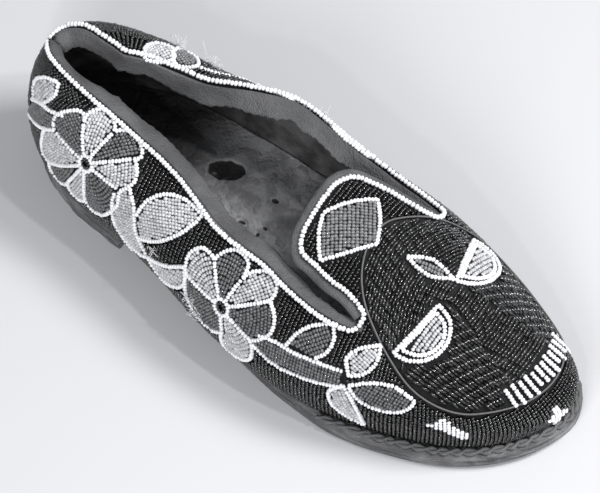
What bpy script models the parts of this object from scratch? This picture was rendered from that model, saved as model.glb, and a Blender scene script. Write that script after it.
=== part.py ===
"""Beaded slip-on slipper for the right foot: a soft upper lasted to a leather sole with a low stacked heel.

Frame: +X to the toe, +Y to the medial (inner) side, +Z up, the origin under the middle of the slipper on the
ground. Lengths below are in millimetres, with X measured from the heel. They lose CENTRE and turn into metres
when a mesh is made.
"""

import bmesh
import bpy
import numpy as np

MM = 0.001
GAP = 0.3
CENTRE = np.array([130.94, -0.87, 0])

# The widest line of the upper, seen from above, from the centre back round the lateral side to the toe.
WIDEST_LINE = [
    (-4, 6), (0, -7.5), (11, -18), (28, -26), (48, -31), (70, -35), (92, -41), (114, -47.5), (138, -51.5),
    (164, -52), (186, -49.5), (208, -44), (229, -36), (246, -24.5), (258, -10), (263.5, 5), (260, 16.5),
    (248, 26.5), (230, 35.5), (206, 43.5), (180, 48.5), (152, 50), (122, 50.5), (92, 50.5), (64, 49),
    (36, 45), (13, 35), (0, 21),
]
# The spine that every section of the upper is measured from, and the seam from vamp to quarters.
SPINE_BACK = 45.0
SPINE_FRONT = 190.0
SPINE_Y = [(45, 6), (150, 6), (190, 3)]
SEAM_X = 184.0

# Heights of the upper along X: its widest line, then how far the vault rises over it.
WIDEST_Z = [(-5, 36), (60, 30), (110, 24), (170, 21), (230, 20), (264, 19)]
CREST_RISE = [(-5, 66), (20, 48), (45, 40), (60, 39), (90, 42), (120, 48), (143, 52), (160, 50), (180, 45),
              (205, 38), (230, 29), (264, 15)]
LATERAL_RISE = [(-5, 66), (4, 60), (20, 50), (41, 40), (66, 36), (92, 37.5), (115, 39.5), (136, 40.5),
                (150, 43), (165, 45), (180, 45), (205, 38), (230, 29), (264, 15)]
MEDIAL_RISE = [(-5, 66), (4, 60), (26, 48), (44, 44), (66, 43), (83, 49), (110, 60), (130, 55), (155, 50),
               (180, 47), (205, 38), (230, 29), (264, 15)]
# How square the section is: 2.3 is a low vault, 3.2 a fuller side wall.
LATERAL_FULLNESS = [(-5, 3.0), (10, 2.6), (30, 2.3), (264, 2.3)]
MEDIAL_FULLNESS = [(-5, 3.0), (30, 3.2), (100, 3.2), (130, 2.8), (155, 2.5), (180, 2.3), (264, 2.3)]

# The topline on each side: distance from the centre back, and the share of the way out to the widest line.
LATERAL_TOPLINE = [(0, 0.84), (10, 0.74), (18, 0.63), (28, 0.52), (50, 0.4), (68, 0.37), (82, 0.39),
                   (105, 0.45), (120, 0.52), (132, 0.57), (158, 0.585), (172, 0.64), (192, 0.69), (208, 0.68)]
MEDIAL_TOPLINE = [(0, 0.84), (10, 0.81), (16, 0.68), (23, 0.51), (30, 0.42), (40, 0.345), (60, 0.37),
                  (84, 0.45), (95, 0.5), (107, 0.59), (120, 0.68), (135, 0.78), (150, 0.76), (165, 0.71),
                  (185, 0.69), (209, 0.68)]
# The tongue's free edges across the foot, along X.
TONGUE_FRONT_X = 142.0
TONGUE_LATERAL = [(142, -14), (145.5, -18.6), (153, -20.6), (162, -22.9), (172, -23.7), (180, -26.3),
                  (184.2, -28.3)]
TONGUE_MEDIAL = [(142, 13), (145.5, 19.2), (153, 23), (162, 25.2), (172, 26.3), (180, 28), (184.2, 30.7)]

# Below the widest line: how far the upper tucks in to the feather edge, and how far the sole stands out of it.
TUCK_IN = [(-5, 4.5), (40, 4.5), (60, 5.5), (88, 7.5), (112, 8), (135, 6.5), (165, 3), (225, 2.5), (250, 3),
           (264, 3.5)]
LATERAL_LEDGE = [(-5, 1), (59, 0.6), (120, 0.6), (160, 1.5), (182, 5), (207, 6.2), (246, 6.5), (264, 5.8)]
MEDIAL_LEDGE = [(-5, 1), (59, 0.6), (150, 0.6), (180, 1.5), (222, 5.2), (246, 5.6), (264, 5.8)]

# The sole: the underside of the outsole along X, and the thicknesses of the stack.
HEEL_BREAST_X = 59.0
OUTSOLE_UNDERSIDE = [(-5, 11.2), (59, 11.2), (78, 9), (110, 3.6), (150, 0), (225, 0), (264, 3.5)]
OUTSOLE_THICK = 4.0
WELT_THICK = 2.0
INSOLE_THICK = 2.5
SOCK_THICK = 1.0
TOP_PIECE_THICK = 2.5
LIFT_THICK = 2.5
LIFT_COUNT = 3

# The layers of the upper, as depths under its outer face.
BEADWORK = (0.0, 1.8)
LEATHER = (2.1, 1.2)
STIFFENER = (3.6, 1.2)
LINING = (5.1, 1.0)
LASTING_MARGIN = 9.0
LASTING_FOLD = 3.0

# Facings, binding, edge beads and stitching.
FACING_THICK = 1.4
BINDING_WIDE = 4.0
BINDING_THICK = 2.6
EDGE_BEAD_RADIUS = 1.25
BRAID_RADIUS = 1.3
NAIL_RADIUS = 1.0
NAIL_HOLE_RADIUS = 1.35
NAIL_SPOTS = [(12, 6), (24, -10), (24, 23), (46, -16), (46, 29)]

COLOURS = {
    "beads_black": (0.02, 0.02, 0.022, 0.25),
    "beads_white": (0.85, 0.85, 0.83, 0.3),
    "upper_leather": (0.16, 0.16, 0.165, 0.7),
    "lining_leather": (0.12, 0.12, 0.125, 0.8),
    "binding_leather": (0.17, 0.17, 0.18, 0.7),
    "sole_leather": (0.14, 0.14, 0.145, 0.6),
    "insole_leather": (0.2, 0.2, 0.205, 0.75),
    "stiffener": (0.3, 0.28, 0.25, 0.8),
    "cork": (0.35, 0.25, 0.16, 0.9),
    "shank_wood": (0.4, 0.3, 0.2, 0.7),
    "waxed_thread": (0.1, 0.1, 0.1, 0.6),
    "nail_metal": (0.4, 0.38, 0.35, 0.4),
}


def through(stations):
    """A smooth function through (x, value) stations that never overshoots them."""
    xs, ys = np.array(stations, float).T
    spans = np.diff(xs)
    rises = np.diff(ys) / spans
    slopes = np.empty(len(xs))
    slopes[0], slopes[-1] = rises[0], rises[-1]
    same_way = rises[1:] * rises[:-1] > 0
    mean = (rises[1:] * spans[:-1] + rises[:-1] * spans[1:]) / (spans[1:] + spans[:-1])
    steepest = 3 * np.minimum(abs(rises[1:]), abs(rises[:-1]))
    slopes[1:-1] = np.where(same_way, np.sign(mean) * np.minimum(abs(mean), steepest), 0)

    def value(x):
        x = np.clip(x, xs[0], xs[-1])
        k = np.clip(np.searchsorted(xs, x, side="right") - 1, 0, len(spans) - 1)
        t = (x - xs[k]) / spans[k]
        return (ys[k] * (2 * t**3 - 3 * t**2 + 1) + slopes[k] * spans[k] * (t**3 - 2 * t**2 + t)
                + ys[k + 1] * (3 * t**2 - 2 * t**3) + slopes[k + 1] * spans[k] * (t**3 - t**2))

    return value


def closed_curve(points, steps):
    """Cubic Hermite curve round a closed list of points, with tangents weighted by the spans beside them."""
    p = np.array(points, float)
    after, before = np.roll(p, -1, 0), np.roll(p, 1, 0)
    span = np.linalg.norm(after - p, axis=1)[:, None]
    span_before = np.roll(span, 1, 0)
    tangent = ((after - p) / span * span_before + (p - before) / span_before * span) / (span + span_before)
    t = np.linspace(0, 1, steps, endpoint=False)[None, :, None]
    start, end = tangent * span, np.roll(tangent, -1, 0) * span
    curve = (p[:, None] * (2 * t**3 - 3 * t**2 + 1) + start[:, None] * (t**3 - 2 * t**2 + t)
             + after[:, None] * (3 * t**2 - 2 * t**3) + end[:, None] * (t**3 - t**2))
    return np.vstack([curve.reshape(-1, 2), p[:1]])


RIM = closed_curve(WIDEST_LINE, 40)
RIM_LENGTHS = np.concatenate([[0], np.cumsum(np.linalg.norm(np.diff(RIM, axis=0), axis=1))])
GIRTH = RIM_LENGTHS[-1]
TOE = RIM_LENGTHS[np.argmax(RIM[:, 0])]

spine_y = through(SPINE_Y)
widest_z = through(WIDEST_Z)
crest_rise = through(CREST_RISE)
side_rise = (through(LATERAL_RISE), through(MEDIAL_RISE))
fullness = (through(LATERAL_FULLNESS), through(MEDIAL_FULLNESS))
topline_share = (through(LATERAL_TOPLINE), through(MEDIAL_TOPLINE))
tongue_edge = (through(TONGUE_LATERAL), through(TONGUE_MEDIAL))
tuck_in = through(TUCK_IN)
ledge_width = (through(LATERAL_LEDGE), through(MEDIAL_LEDGE))
outsole_underside = through(OUTSOLE_UNDERSIDE)
welt_fade = through([(78, 0), (108, 1), (264, 1)])


def is_medial(s):
    return np.asarray(s) % GIRTH > TOE


def by_side(pair, s, x):
    """The lateral function of a pair where s lies on the lateral side, and the medial one elsewhere."""
    return np.where(is_medial(s), pair[1](x), pair[0](x))


def rim(s):
    """A point of the widest line, s along it from the centre back."""
    s = np.asarray(s, float) % GIRTH
    return np.stack([np.interp(s, RIM_LENGTHS, RIM[:, 0]), np.interp(s, RIM_LENGTHS, RIM[:, 1])], -1)


def spine(s):
    x = np.clip(rim(s)[..., 0], SPINE_BACK, SPINE_FRONT)
    return np.stack([x, spine_y(x)], -1)


def radial(s):
    """The unit vector from the spine out to the widest line, in plan."""
    out = rim(s) - spine(s)
    return out / np.linalg.norm(out, axis=-1, keepdims=True)


def rim_at_x(x, medial):
    """s where the widest line passes x on one side."""
    toe = int(np.argmax(RIM[:, 0]))
    if medial:
        return np.interp(-x, -RIM[toe:-60, 0], RIM_LENGTHS[toe:-60])
    return np.interp(x, RIM[60:toe, 0], RIM_LENGTHS[60:toe])


def outsole_top(x):
    return outsole_underside(x) + OUTSOLE_THICK


def feather_z(x):
    """Height of the feather edge, where the upper meets the sole: on the outsole, or on the welt."""
    return outsole_top(x) + GAP + (WELT_THICK + GAP) * welt_fade(x)


def feather(s):
    """The feather edge in plan."""
    return rim(s) - radial(s) * tuck_in(rim(s)[..., 0])[..., None]


def sole_edge(s):
    return feather(s) + radial(s) * by_side(ledge_width, s, rim(s)[..., 0])[..., None]


def vault_point(s, share):
    """The vault over the widest line. Share 1 is the widest line and 0 the spine."""
    plan = spine(s) + (rim(s) - spine(s)) * share[..., None]
    x = plan[..., 0]
    blend = np.clip(share / 0.7, 0, 1)
    blend = blend**2 * (3 - 2 * blend)
    rise = crest_rise(x) * (1 - blend) + by_side(side_rise, s, x) * blend
    height = np.sqrt(np.clip(1 - share ** by_side(fullness, s, x), 0, 1))
    z = widest_z(x) + rise * height
    return np.concatenate([plan, z[..., None]], -1)


def wall_point(s, turn):
    """The quarter round from the feather edge, turn 0, to the widest line, turn 1."""
    angle = turn * np.pi / 2
    low, wide = feather(s), rim(s)
    plan = low + (wide - low) * np.sin(angle)[..., None]
    z_low, z_wide = feather_z(low[..., 0]), widest_z(wide[..., 0])
    z = z_low + (z_wide - z_low) * (1 - np.cos(angle))
    return np.concatenate([plan, z[..., None]], -1)


def skin(s, v):
    """The outer face of the upper: v from 0 to 1 is the wall, and from 1 to 2 the vault, share 2 - v."""
    s, v = np.broadcast_arrays(np.asarray(s, float), np.asarray(v, float))
    wall, vault = wall_point(s, np.clip(v, 0, 1)), vault_point(s, np.clip(2 - v, 0, 1))
    return np.where((v < 1)[..., None], wall, vault)


def skin_normal(s, v):
    """Outward unit normal, by differences a small step apart, and on the spine from the crest's slope."""
    s, v = np.broadcast_arrays(np.asarray(s, float), np.asarray(v, float))
    ds, dv = 0.5, 0.01
    v_low = np.clip(v - dv, 0, 1.98)
    normal = np.cross(skin(s + ds, v) - skin(s - ds, v), skin(s, v_low + 2 * dv) - skin(s, v_low))
    x = spine(s)[..., 0]
    slope = (crest_rise(x + 1) + widest_z(x + 1) - crest_rise(x - 1) - widest_z(x - 1)) / 2
    crest = np.stack([-slope, 0 * slope, 1 + 0 * slope], -1)
    normal = np.where((v > 1.995)[..., None], crest, normal)
    return normal / np.maximum(np.linalg.norm(normal, axis=-1, keepdims=True), 1e-9)


def skin_at_plan(x, y):
    """(s, v) of the vault point over a plan position between the spine's ends."""
    x, y = np.broadcast_arrays(np.asarray(x, float), np.asarray(y, float))
    medial = y > spine_y(x)
    s = np.where(medial, rim_at_x(x, True), rim_at_x(x, False))
    share = (y - spine_y(x)) / (rim(s)[..., 1] - spine_y(x))
    return s, 2 - share


# --- Making objects -------------------------------------------------------------------------------------


def start_scene():
    for obj in list(bpy.data.objects):
        bpy.data.objects.remove(obj)
    slipper = bpy.data.collections.new("beaded_slipper")
    cutters = bpy.data.collections.new("cutters")
    for collection in (slipper, cutters):
        bpy.context.scene.collection.children.link(collection)
    return slipper, cutters


SLIPPER, CUTTERS = start_scene()


def material(name):
    """One shared Principled material for each finish."""
    found = bpy.data.materials.get(name)
    if found:
        return found
    made = bpy.data.materials.new(name)
    made.use_nodes = True
    shader = made.node_tree.nodes["Principled BSDF"]
    red, green, blue, roughness = COLOURS[name]
    shader.inputs["Base Color"].default_value = (red, green, blue, 1)
    shader.inputs["Roughness"].default_value = roughness
    shader.inputs["Metallic"].default_value = 1.0 if name == "nail_metal" else 0.0
    return made


def add_object(name, mesh, finish):
    obj = bpy.data.objects.new(name, mesh)
    SLIPPER.objects.link(obj)
    mesh.materials.append(material(finish))
    return obj


def grid_faces(rows, columns, first=0):
    """Quads of a grid of points stored row by row."""
    corner = first + (np.arange(rows - 1)[:, None] * columns + np.arange(columns - 1)).reshape(-1)
    return np.stack([corner, corner + columns, corner + columns + 1, corner + 1], 1)


def open_mesh(name, *grids):
    """One open surface from grids of points in millimetres, with the points that they share merged."""
    points, faces, first = [], [], 0
    for grid in grids:
        rows, columns = grid.shape[:2]
        points.append(grid.reshape(-1, 3))
        faces.append(grid_faces(rows, columns, first))
        first += rows * columns
    mesh = bpy.data.meshes.new(name)
    places = (np.concatenate(points) - CENTRE) * MM
    mesh.from_pydata(places.tolist(), [], np.concatenate(faces).tolist())
    work = bmesh.new()
    work.from_mesh(mesh)
    bmesh.ops.remove_doubles(work, verts=work.verts, dist=0.02 * MM)
    work.to_mesh(mesh)
    work.free()
    mesh.shade_smooth()
    return mesh


def solidify(obj, thickness):
    """Thickens an open surface towards its back."""
    modifier = obj.modifiers.new("thickness", "SOLIDIFY")
    modifier.thickness = thickness * MM
    modifier.offset = -1
    return obj


def layer(name, finish, depth_and_thickness, *patches):
    """A shell of the upper. Each patch is a grid (s, v) of places on the skin."""
    depth, thickness = depth_and_thickness
    grids = [skin(s, v) - skin_normal(s, v) * depth for s, v in patches]
    return solidify(add_object(name, open_mesh(name, *grids), finish), thickness)


def lasted_layer(name, finish, depth_and_thickness, s_columns, *patches):
    """A shell of the upper with its lasting margin turned in under the insole."""
    depth, thickness = depth_and_thickness
    grids = [skin(s, v) - skin_normal(s, v) * depth for s, v in patches]
    inwards = np.array([LASTING_MARGIN, LASTING_FOLD])[:, None]
    turned = feather(s_columns)[:, None] - radial(s_columns)[:, None] * inwards
    margin = np.concatenate([turned, (feather_z(turned[..., 0]) + depth)[..., None]], -1)
    grids[0] = np.concatenate([margin, grids[0]], 1)
    return solidify(add_object(name, open_mesh(name, *grids), finish), thickness)


def plate(name, finish, s_columns, edge, top, thickness, rings=(1.0, 0.85, 0.6, 0.3, 0.0)):
    """A flat or arched plate from a plan edge in to the spine, with its upper face at height top(x)."""
    centre = spine(s_columns)
    plan = centre[:, None] + (edge - centre)[:, None] * np.array(rings)[None, :, None]
    grid = np.concatenate([plan, top(plan[..., 0])[..., None]], -1)
    return solidify(add_object(name, open_mesh(name, grid), finish), thickness)


def tube(name, finish, path, radius):
    """A round string along a path."""
    curve = bpy.data.curves.new(name, "CURVE")
    curve.dimensions = "3D"
    curve.bevel_depth = radius * MM
    curve.bevel_resolution = 1
    curve.use_fill_caps = True
    spline = curve.splines.new("POLY")
    spline.points.add(len(path) - 1)
    spline.points.foreach_set("co", np.c_[(path - CENTRE) * MM, np.ones(len(path))].reshape(-1))
    return add_object(name, curve, finish)


def cut(obj, cutter):
    modifier = obj.modifiers.new("hole", "BOOLEAN")
    modifier.operation = "DIFFERENCE"
    modifier.solver = "EXACT"
    modifier.object = cutter


def cylinder(name, x, y, low, high, radius, sides, collection):
    """An upright cylinder with its place in its object."""
    mesh = bpy.data.meshes.new(name)
    work = bmesh.new()
    bmesh.ops.create_cone(work, cap_ends=True, segments=sides, radius1=radius * MM, radius2=radius * MM,
                          depth=(high - low) * MM)
    work.to_mesh(mesh)
    work.free()
    obj = bpy.data.objects.new(name, mesh)
    obj.location = (np.array([x, y, (low + high) / 2]) - CENTRE) * MM
    collection.objects.link(obj)
    return obj


# --- The upper ------------------------------------------------------------------------------------------

SIDES = ("lateral", "medial")
HEEL_FAN_COLUMNS = 5
TOE_FAN_COLUMNS = 17
# Where sections cross the quarters between the heel's fan of sections and the vamp seam, along X.
BACK_SEAM_HALF_GAP = 0.7
LADDER_X = np.array([45, HEEL_BREAST_X, 73, 87, 101, 115, 129, 143, 157, 171, SEAM_X - GAP / 2])
WALL_ROWS = np.array([0, 1 / 3, 2 / 3])
VAMP_SHARES = np.array([1, 0.985, 0.94, 0.86, 0.76, 0.68, 0.6, 0.44, 0.23, 0])
VAULT_STEPS = np.array([0, 0.24, 0.46, 0.68, 0.85, 1])
TONGUE_COLUMNS = np.array([184.2, 180, 172, 162, 153, 145.5, 142])


def quarter_columns(side):
    """s of a quarter's columns, in order round the foot."""
    ladder = rim_at_x(LADDER_X, bool(side))
    if side == 0:
        return np.concatenate([np.linspace(BACK_SEAM_HALF_GAP, ladder[0], HEEL_FAN_COLUMNS, endpoint=False), ladder])
    fan = np.linspace(GIRTH - BACK_SEAM_HALF_GAP, ladder[0], HEEL_FAN_COLUMNS, endpoint=False)
    return np.concatenate([fan, ladder])[::-1]


def topline_v(s):
    """v of the topline."""
    distance = np.where(is_medial(s), GIRTH - s % GIRTH, s)
    return 2 - by_side(topline_share, s, distance)


def quarter_patch(s_columns, first_wall_row):
    """(s, v) grid of a quarter, from a wall row up to the topline."""
    wall = np.broadcast_to(WALL_ROWS[first_wall_row:], (len(s_columns), len(WALL_ROWS) - first_wall_row))
    vault = 1 + (topline_v(s_columns) - 1)[:, None] * VAULT_STEPS**2
    v = np.concatenate([wall, vault], 1)
    return np.broadcast_to(s_columns[:, None], v.shape), v


def vamp_columns():
    """s of the vamp's columns: the seam, then a fan of sections round the toe, and the other seam."""
    seam = TONGUE_COLUMNS[0]
    fan = np.linspace(rim_at_x(SPINE_FRONT, False), rim_at_x(SPINE_FRONT, True), TOE_FAN_COLUMNS)
    return np.concatenate([[rim_at_x(seam, False)], fan, [rim_at_x(seam, True)]])


def vamp_patch(s_columns, first_wall_row, last_share=len(VAMP_SHARES)):
    v = np.concatenate([WALL_ROWS[first_wall_row:], 2 - VAMP_SHARES[:last_share]])
    s, v = np.meshgrid(s_columns, v, indexing="ij")
    return s, v


def tongue_patch(side):
    """Half of the tongue, sharing its first column and its spine row with the vamp."""
    across = VAMP_SHARES[6:] / VAMP_SHARES[6]
    x = np.broadcast_to(TONGUE_COLUMNS[:, None], (len(TONGUE_COLUMNS), len(across)))
    edge_share = (tongue_edge[side](x) - spine_y(x)) / (rim(rim_at_x(x, bool(side)))[..., 1] - spine_y(x))
    edge_share[0] = VAMP_SHARES[6]
    s = rim_at_x(x, bool(side))
    order = slice(None, None, -1) if side == 0 else slice(None)
    return s[order], (2 - edge_share * across)[order]


def make_quarters():
    for side, word in enumerate(SIDES):
        columns = quarter_columns(side)
        layer(f"beadwork_quarter_{word}", "beads_black", BEADWORK, quarter_patch(columns, 0))
        lasted_layer(f"quarter_leather_{word}", "upper_leather", LEATHER, columns, quarter_patch(columns, 1))
        layer(f"quarter_lining_{word}", "lining_leather", LINING, quarter_patch(columns, 2))


def make_vamp():
    columns = vamp_columns()
    tongue = [tongue_patch(0), tongue_patch(1)]
    layer("beadwork_vamp", "beads_black", BEADWORK, vamp_patch(columns, 0), *tongue)
    lasted_layer("vamp_leather", "upper_leather", LEATHER, columns, vamp_patch(columns, 1), *tongue)
    layer("vamp_lining", "lining_leather", LINING, vamp_patch(columns, 2), *tongue)


def make_stiffeners():
    """The heel counter and the toe puff, between leather and lining."""
    lateral, medial = quarter_columns(0)[:5], quarter_columns(1)[-5:]
    columns = np.concatenate([medial - GIRTH, lateral])
    s, v = quarter_patch(columns % GIRTH, 2)
    layer("heel_counter", "stiffener", STIFFENER, (columns[:, None] + 0 * s[:, :5], v[:, :5]))
    layer("toe_puff", "stiffener", STIFFENER, vamp_patch(vamp_columns()[4:15], 2, 6))


# The facing's section at distances from the centre back: points (past the topline edge, under the skin).
FACING_SECTIONS = (
    {0: [(0.6, 1.4), (1.6, 4), (1.2, 7.8), (-5, 8.4)], 35: [(0.6, 1.4), (2.2, 2.2), (4.2, 3.8), (5.8, 6.4)],
     150: [(0.6, 1.4), (2, 2.2), (3.8, 3.8), (5.2, 6)], 180: [(0.6, 1.4), (1.6, 2), (2.8, 3), (4, 4.5)],
     210: [(0.6, 1.4), (1.2, 2), (2, 3), (2.6, 4)]},
    {0: [(1.8, 1.4), (2.2, 4), (1.2, 7.8), (-5, 8.4)], 35: [(0.6, 1.4), (1.6, 4), (2.2, 7.5), (3, 11.5)],
     160: [(0.6, 1.4), (1.6, 4), (2.2, 7.5), (3, 10.5)], 210: [(0.6, 1.4), (1, 3), (1.4, 5), (1.8, 7)]},
)


def skin_upward(s, v):
    """The unit vector up the skin, across the topline."""
    up = skin(s, v) - skin(s, v - 0.02)
    return up / np.linalg.norm(up, axis=-1, keepdims=True)


def facing_section(side, distance):
    """Section points (past the edge, under the skin) at distances from the centre back."""
    stops = np.array(sorted(FACING_SECTIONS[side]), float)
    sections = np.array([FACING_SECTIONS[side][stop] for stop in sorted(FACING_SECTIONS[side])])
    flat = sections.reshape(len(stops), -1)
    return np.stack([np.interp(distance, stops, column) for column in flat.T], 1).reshape(-1, 4, 2)


def make_facings():
    """The leather collar facing, sewn to the topline and turned in and down."""
    for side, word in enumerate(SIDES):
        s = quarter_columns(side)
        s[0 if side == 0 else -1] += 2.8 if side == 0 else -2.8
        s = s[:-1] if side == 0 else s[1:]
        v = topline_v(s)
        distance = s if side == 0 else GIRTH - s
        section = facing_section(side, distance)
        band = (skin(s, v)[:, None] + skin_upward(s, v)[:, None] * section[..., :1]
                - skin_normal(s, v)[:, None] * section[..., 1:])
        name = f"collar_facing_{word}"
        obj = solidify(add_object(name, open_mesh(name, band), "binding_leather"), FACING_THICK)
        obj.modifiers["thickness"].offset = 1


def tongue_outline(inset):
    """Plan points along the tongue's free edge from the lateral seam to the medial one, moved inwards."""
    x = np.array([181, 176, 170, 163, 156, 150, 145.5, 143])
    lateral = np.c_[x, tongue_edge[0](x)]
    medial = np.c_[x, tongue_edge[1](x)][::-1]
    front = np.array([[TONGUE_FRONT_X, -13], [TONGUE_FRONT_X, -4], [TONGUE_FRONT_X, 5], [TONGUE_FRONT_X, 12]])
    path = np.concatenate([lateral, front, medial])
    along = np.gradient(path, axis=0)
    normal = np.c_[-along[:, 1], along[:, 0]] / np.linalg.norm(along, axis=1, keepdims=True)
    return path - normal * inset


def on_skin(plan, lift):
    """Points over plan positions, lifted along the skin's normal."""
    s, v = skin_at_plan(plan[:, 0], plan[:, 1])
    return skin(s, v) + skin_normal(s, v) * lift


def make_tongue_edge():
    """The leather binding round the tongue, and the bead string sewn inside it."""
    inner = on_skin(tongue_outline(-2 * GAP), -0.4)
    outer = on_skin(tongue_outline(-BINDING_WIDE), -0.8)
    mesh = open_mesh("tongue_binding", np.stack([outer, inner], 1))
    solidify(add_object("tongue_binding", mesh, "binding_leather"), BINDING_THICK)
    lift = EDGE_BEAD_RADIUS + GAP
    tube("tongue_edge_beads", "beads_white", on_skin(tongue_outline(1.5), lift), EDGE_BEAD_RADIUS)


def make_topline_beads():
    lift = EDGE_BEAD_RADIUS + 3.5 * GAP
    for side, word in enumerate(SIDES):
        s = quarter_columns(side)
        s[0] += 1.5
        s[-1] -= 1.5
        v = topline_v(s) - 0.035
        tube(f"topline_beads_{word}", "beads_white", skin(s, v) + skin_normal(s, v) * lift, EDGE_BEAD_RADIUS)


# --- The sole -------------------------------------------------------------------------------------------


def all_columns():
    """Every column round the whole foot, from the centre back."""
    return np.concatenate([quarter_columns(0)[:-1], vamp_columns(), quarter_columns(1)[1:]])


def columns_in_front_of(x):
    s = all_columns()
    return s[(rim(s)[:, 0] > x - 1) & (s > GIRTH / 10) & (s < GIRTH * 0.9)]


def columns_behind(x):
    s = all_columns()
    near_heel = s[rim(s)[:, 0] < x + 1]
    return np.concatenate([near_heel[near_heel > TOE] - GIRTH, near_heel[near_heel < TOE]])


def make_sole():
    round_foot = np.append(all_columns(), all_columns()[0] + GIRTH)
    outsole = plate("outsole", "sole_leather", round_foot, sole_edge(round_foot), outsole_top, OUTSOLE_THICK)
    insole_edge = feather(round_foot) - radial(round_foot) * 5.5
    insole_low = LEATHER[0] + LEATHER[1] + GAP
    insole_high = insole_low + INSOLE_THICK
    plate("insole", "insole_leather", round_foot, insole_edge, lambda x: feather_z(x) + insole_high, INSOLE_THICK)
    sock_edge = feather(round_foot) - radial(round_foot) * 6.5
    sock_high = insole_high + GAP + SOCK_THICK
    plate("sock_liner", "insole_leather", round_foot, sock_edge, lambda x: feather_z(x) + sock_high, SOCK_THICK)
    make_filler(insole_low)
    make_shank()
    make_welt()
    return outsole


def make_filler(insole_low):
    """Cork that fills the hollow inside the lasting margin at the forefoot."""
    s = columns_in_front_of(143)
    edge = feather(s) - radial(s) * (LASTING_MARGIN + 1)
    thickness = insole_low + WELT_THICK - 2 * GAP
    plate("forefoot_filler", "cork", s, edge, lambda x: feather_z(x) + insole_low - GAP, thickness)


def make_shank():
    """A flat wooden strip that stiffens the waist."""
    x, across = np.meshgrid(np.linspace(66, 132, 9), np.array([-7, 7]), indexing="ij")
    z = outsole_top(x) + GAP + 2.2
    grid = np.stack([x, spine_y(x) + across, z], -1)
    solidify(add_object("shank", open_mesh("shank", grid), "shank_wood"), 2.2)


def make_welt():
    """The welt on the outsole's rim at the forefoot, and the braided seam that holds it to the upper."""
    s = columns_in_front_of(115)
    outer = sole_edge(s) - radial(s) * 0.3
    inner = feather(s) - radial(s) * 8
    plan = np.stack([outer, inner], 1)
    z = outsole_top(plan[..., 0]) + GAP + WELT_THICK
    mesh = open_mesh("welt", np.concatenate([plan, z[..., None]], -1))
    solidify(add_object("welt", mesh, "sole_leather"), WELT_THICK)
    path_s = np.linspace(rim_at_x(186, False), rim_at_x(224, True), 36)
    clear_of_upper = tuck_in(rim(path_s)[:, 0]) * 0.75 + BRAID_RADIUS + 2 * GAP
    plan = feather(path_s) + radial(path_s) * clear_of_upper[:, None]
    z = outsole_top(plan[:, 0]) + GAP + WELT_THICK + GAP + BRAID_RADIUS
    tube("welt_braid", "waxed_thread", np.c_[plan, z + 0.15], BRAID_RADIUS)


def make_heel(outsole):
    """The stacked heel: a top piece on the ground, three lifts, and nails through them into the outsole."""
    s = columns_behind(HEEL_BREAST_X)
    pieces = [("heel_top_piece", 0.0, TOP_PIECE_THICK)]
    for number in range(LIFT_COUNT):
        low = TOP_PIECE_THICK + GAP + number * (LIFT_THICK + GAP)
        pieces.append((f"heel_lift_{number + 1}", low, LIFT_THICK))
    cut_pieces = [outsole]
    for name, low, thick in pieces:
        edge = sole_edge(s) - radial(s) * (1.2 - low * 0.1)
        cut_pieces.append(plate(name, "sole_leather", s, edge, lambda x, z=low + thick: 0 * x + z, thick))
    for number, (x, y) in enumerate(NAIL_SPOTS):
        hole = cylinder(f"nail_hole_{number + 1}", x, y, -5, 14.0, NAIL_HOLE_RADIUS, 8, CUTTERS)
        hole.hide_render = True
        hole.display_type = "WIRE"
        for piece in cut_pieces:
            cut(piece, hole)
        nail = cylinder(f"heel_nail_{number + 1}", x, y, 0.5, 13.6, NAIL_RADIUS, 8, SLIPPER)
        nail.data.materials.append(material("nail_metal"))


make_quarters()
make_vamp()
make_stiffeners()
make_facings()
make_tongue_edge()
make_topline_beads()
make_heel(make_sole())
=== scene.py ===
"""Beaded slip-on slipper for the right foot, on a pale studio floor.

Shapes are worked out in millimetres, with X measured from the heel, Y to the medial side and Z up from the
ground, and move into the frame's metres when a mesh is made.
"""

import bmesh
import bpy
import numpy as np
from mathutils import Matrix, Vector


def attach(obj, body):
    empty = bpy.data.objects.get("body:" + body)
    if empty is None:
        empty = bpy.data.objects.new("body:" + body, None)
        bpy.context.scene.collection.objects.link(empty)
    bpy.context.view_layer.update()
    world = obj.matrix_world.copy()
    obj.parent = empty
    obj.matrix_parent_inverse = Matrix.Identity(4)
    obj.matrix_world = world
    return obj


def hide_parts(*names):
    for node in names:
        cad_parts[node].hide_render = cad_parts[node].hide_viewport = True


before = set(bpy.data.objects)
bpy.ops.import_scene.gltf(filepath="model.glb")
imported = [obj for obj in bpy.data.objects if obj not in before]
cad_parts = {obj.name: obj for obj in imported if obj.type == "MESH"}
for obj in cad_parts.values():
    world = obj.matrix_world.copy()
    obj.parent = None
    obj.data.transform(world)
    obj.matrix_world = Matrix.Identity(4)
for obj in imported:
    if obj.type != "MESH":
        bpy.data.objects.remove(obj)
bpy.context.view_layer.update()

# --- The last ---------------------------------------------------------------------------------------------
# The form that the upper is pulled over: every sheet and bead of the upper is a place on its skin, at a depth
# under it. A place is (s, v): s runs round the widest line from the centre back by the lateral side, and v
# goes from 0 at the feather edge over 1 at the widest line to 2 on the spine along the top.

MM = 0.001
CENTRE = np.array([130.94, -0.87, 0])
WIDEST_LINE = [
    (-4, 6), (0, -7.5), (11, -18), (28, -26), (48, -31), (70, -35), (92, -41), (114, -47.5), (138, -51.5),
    (164, -52), (186, -49.5), (208, -44), (229, -36), (246, -24.5), (258, -10), (263.5, 5), (260, 16.5),
    (248, 26.5), (230, 35.5), (206, 43.5), (180, 48.5), (152, 50), (122, 50.5), (92, 50.5), (64, 49),
    (36, 45), (13, 35), (0, 21),
]
BACK_POLE = np.array([45.0, 6.0])
TOE_POLE = np.array([190.0, 3.0])


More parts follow.
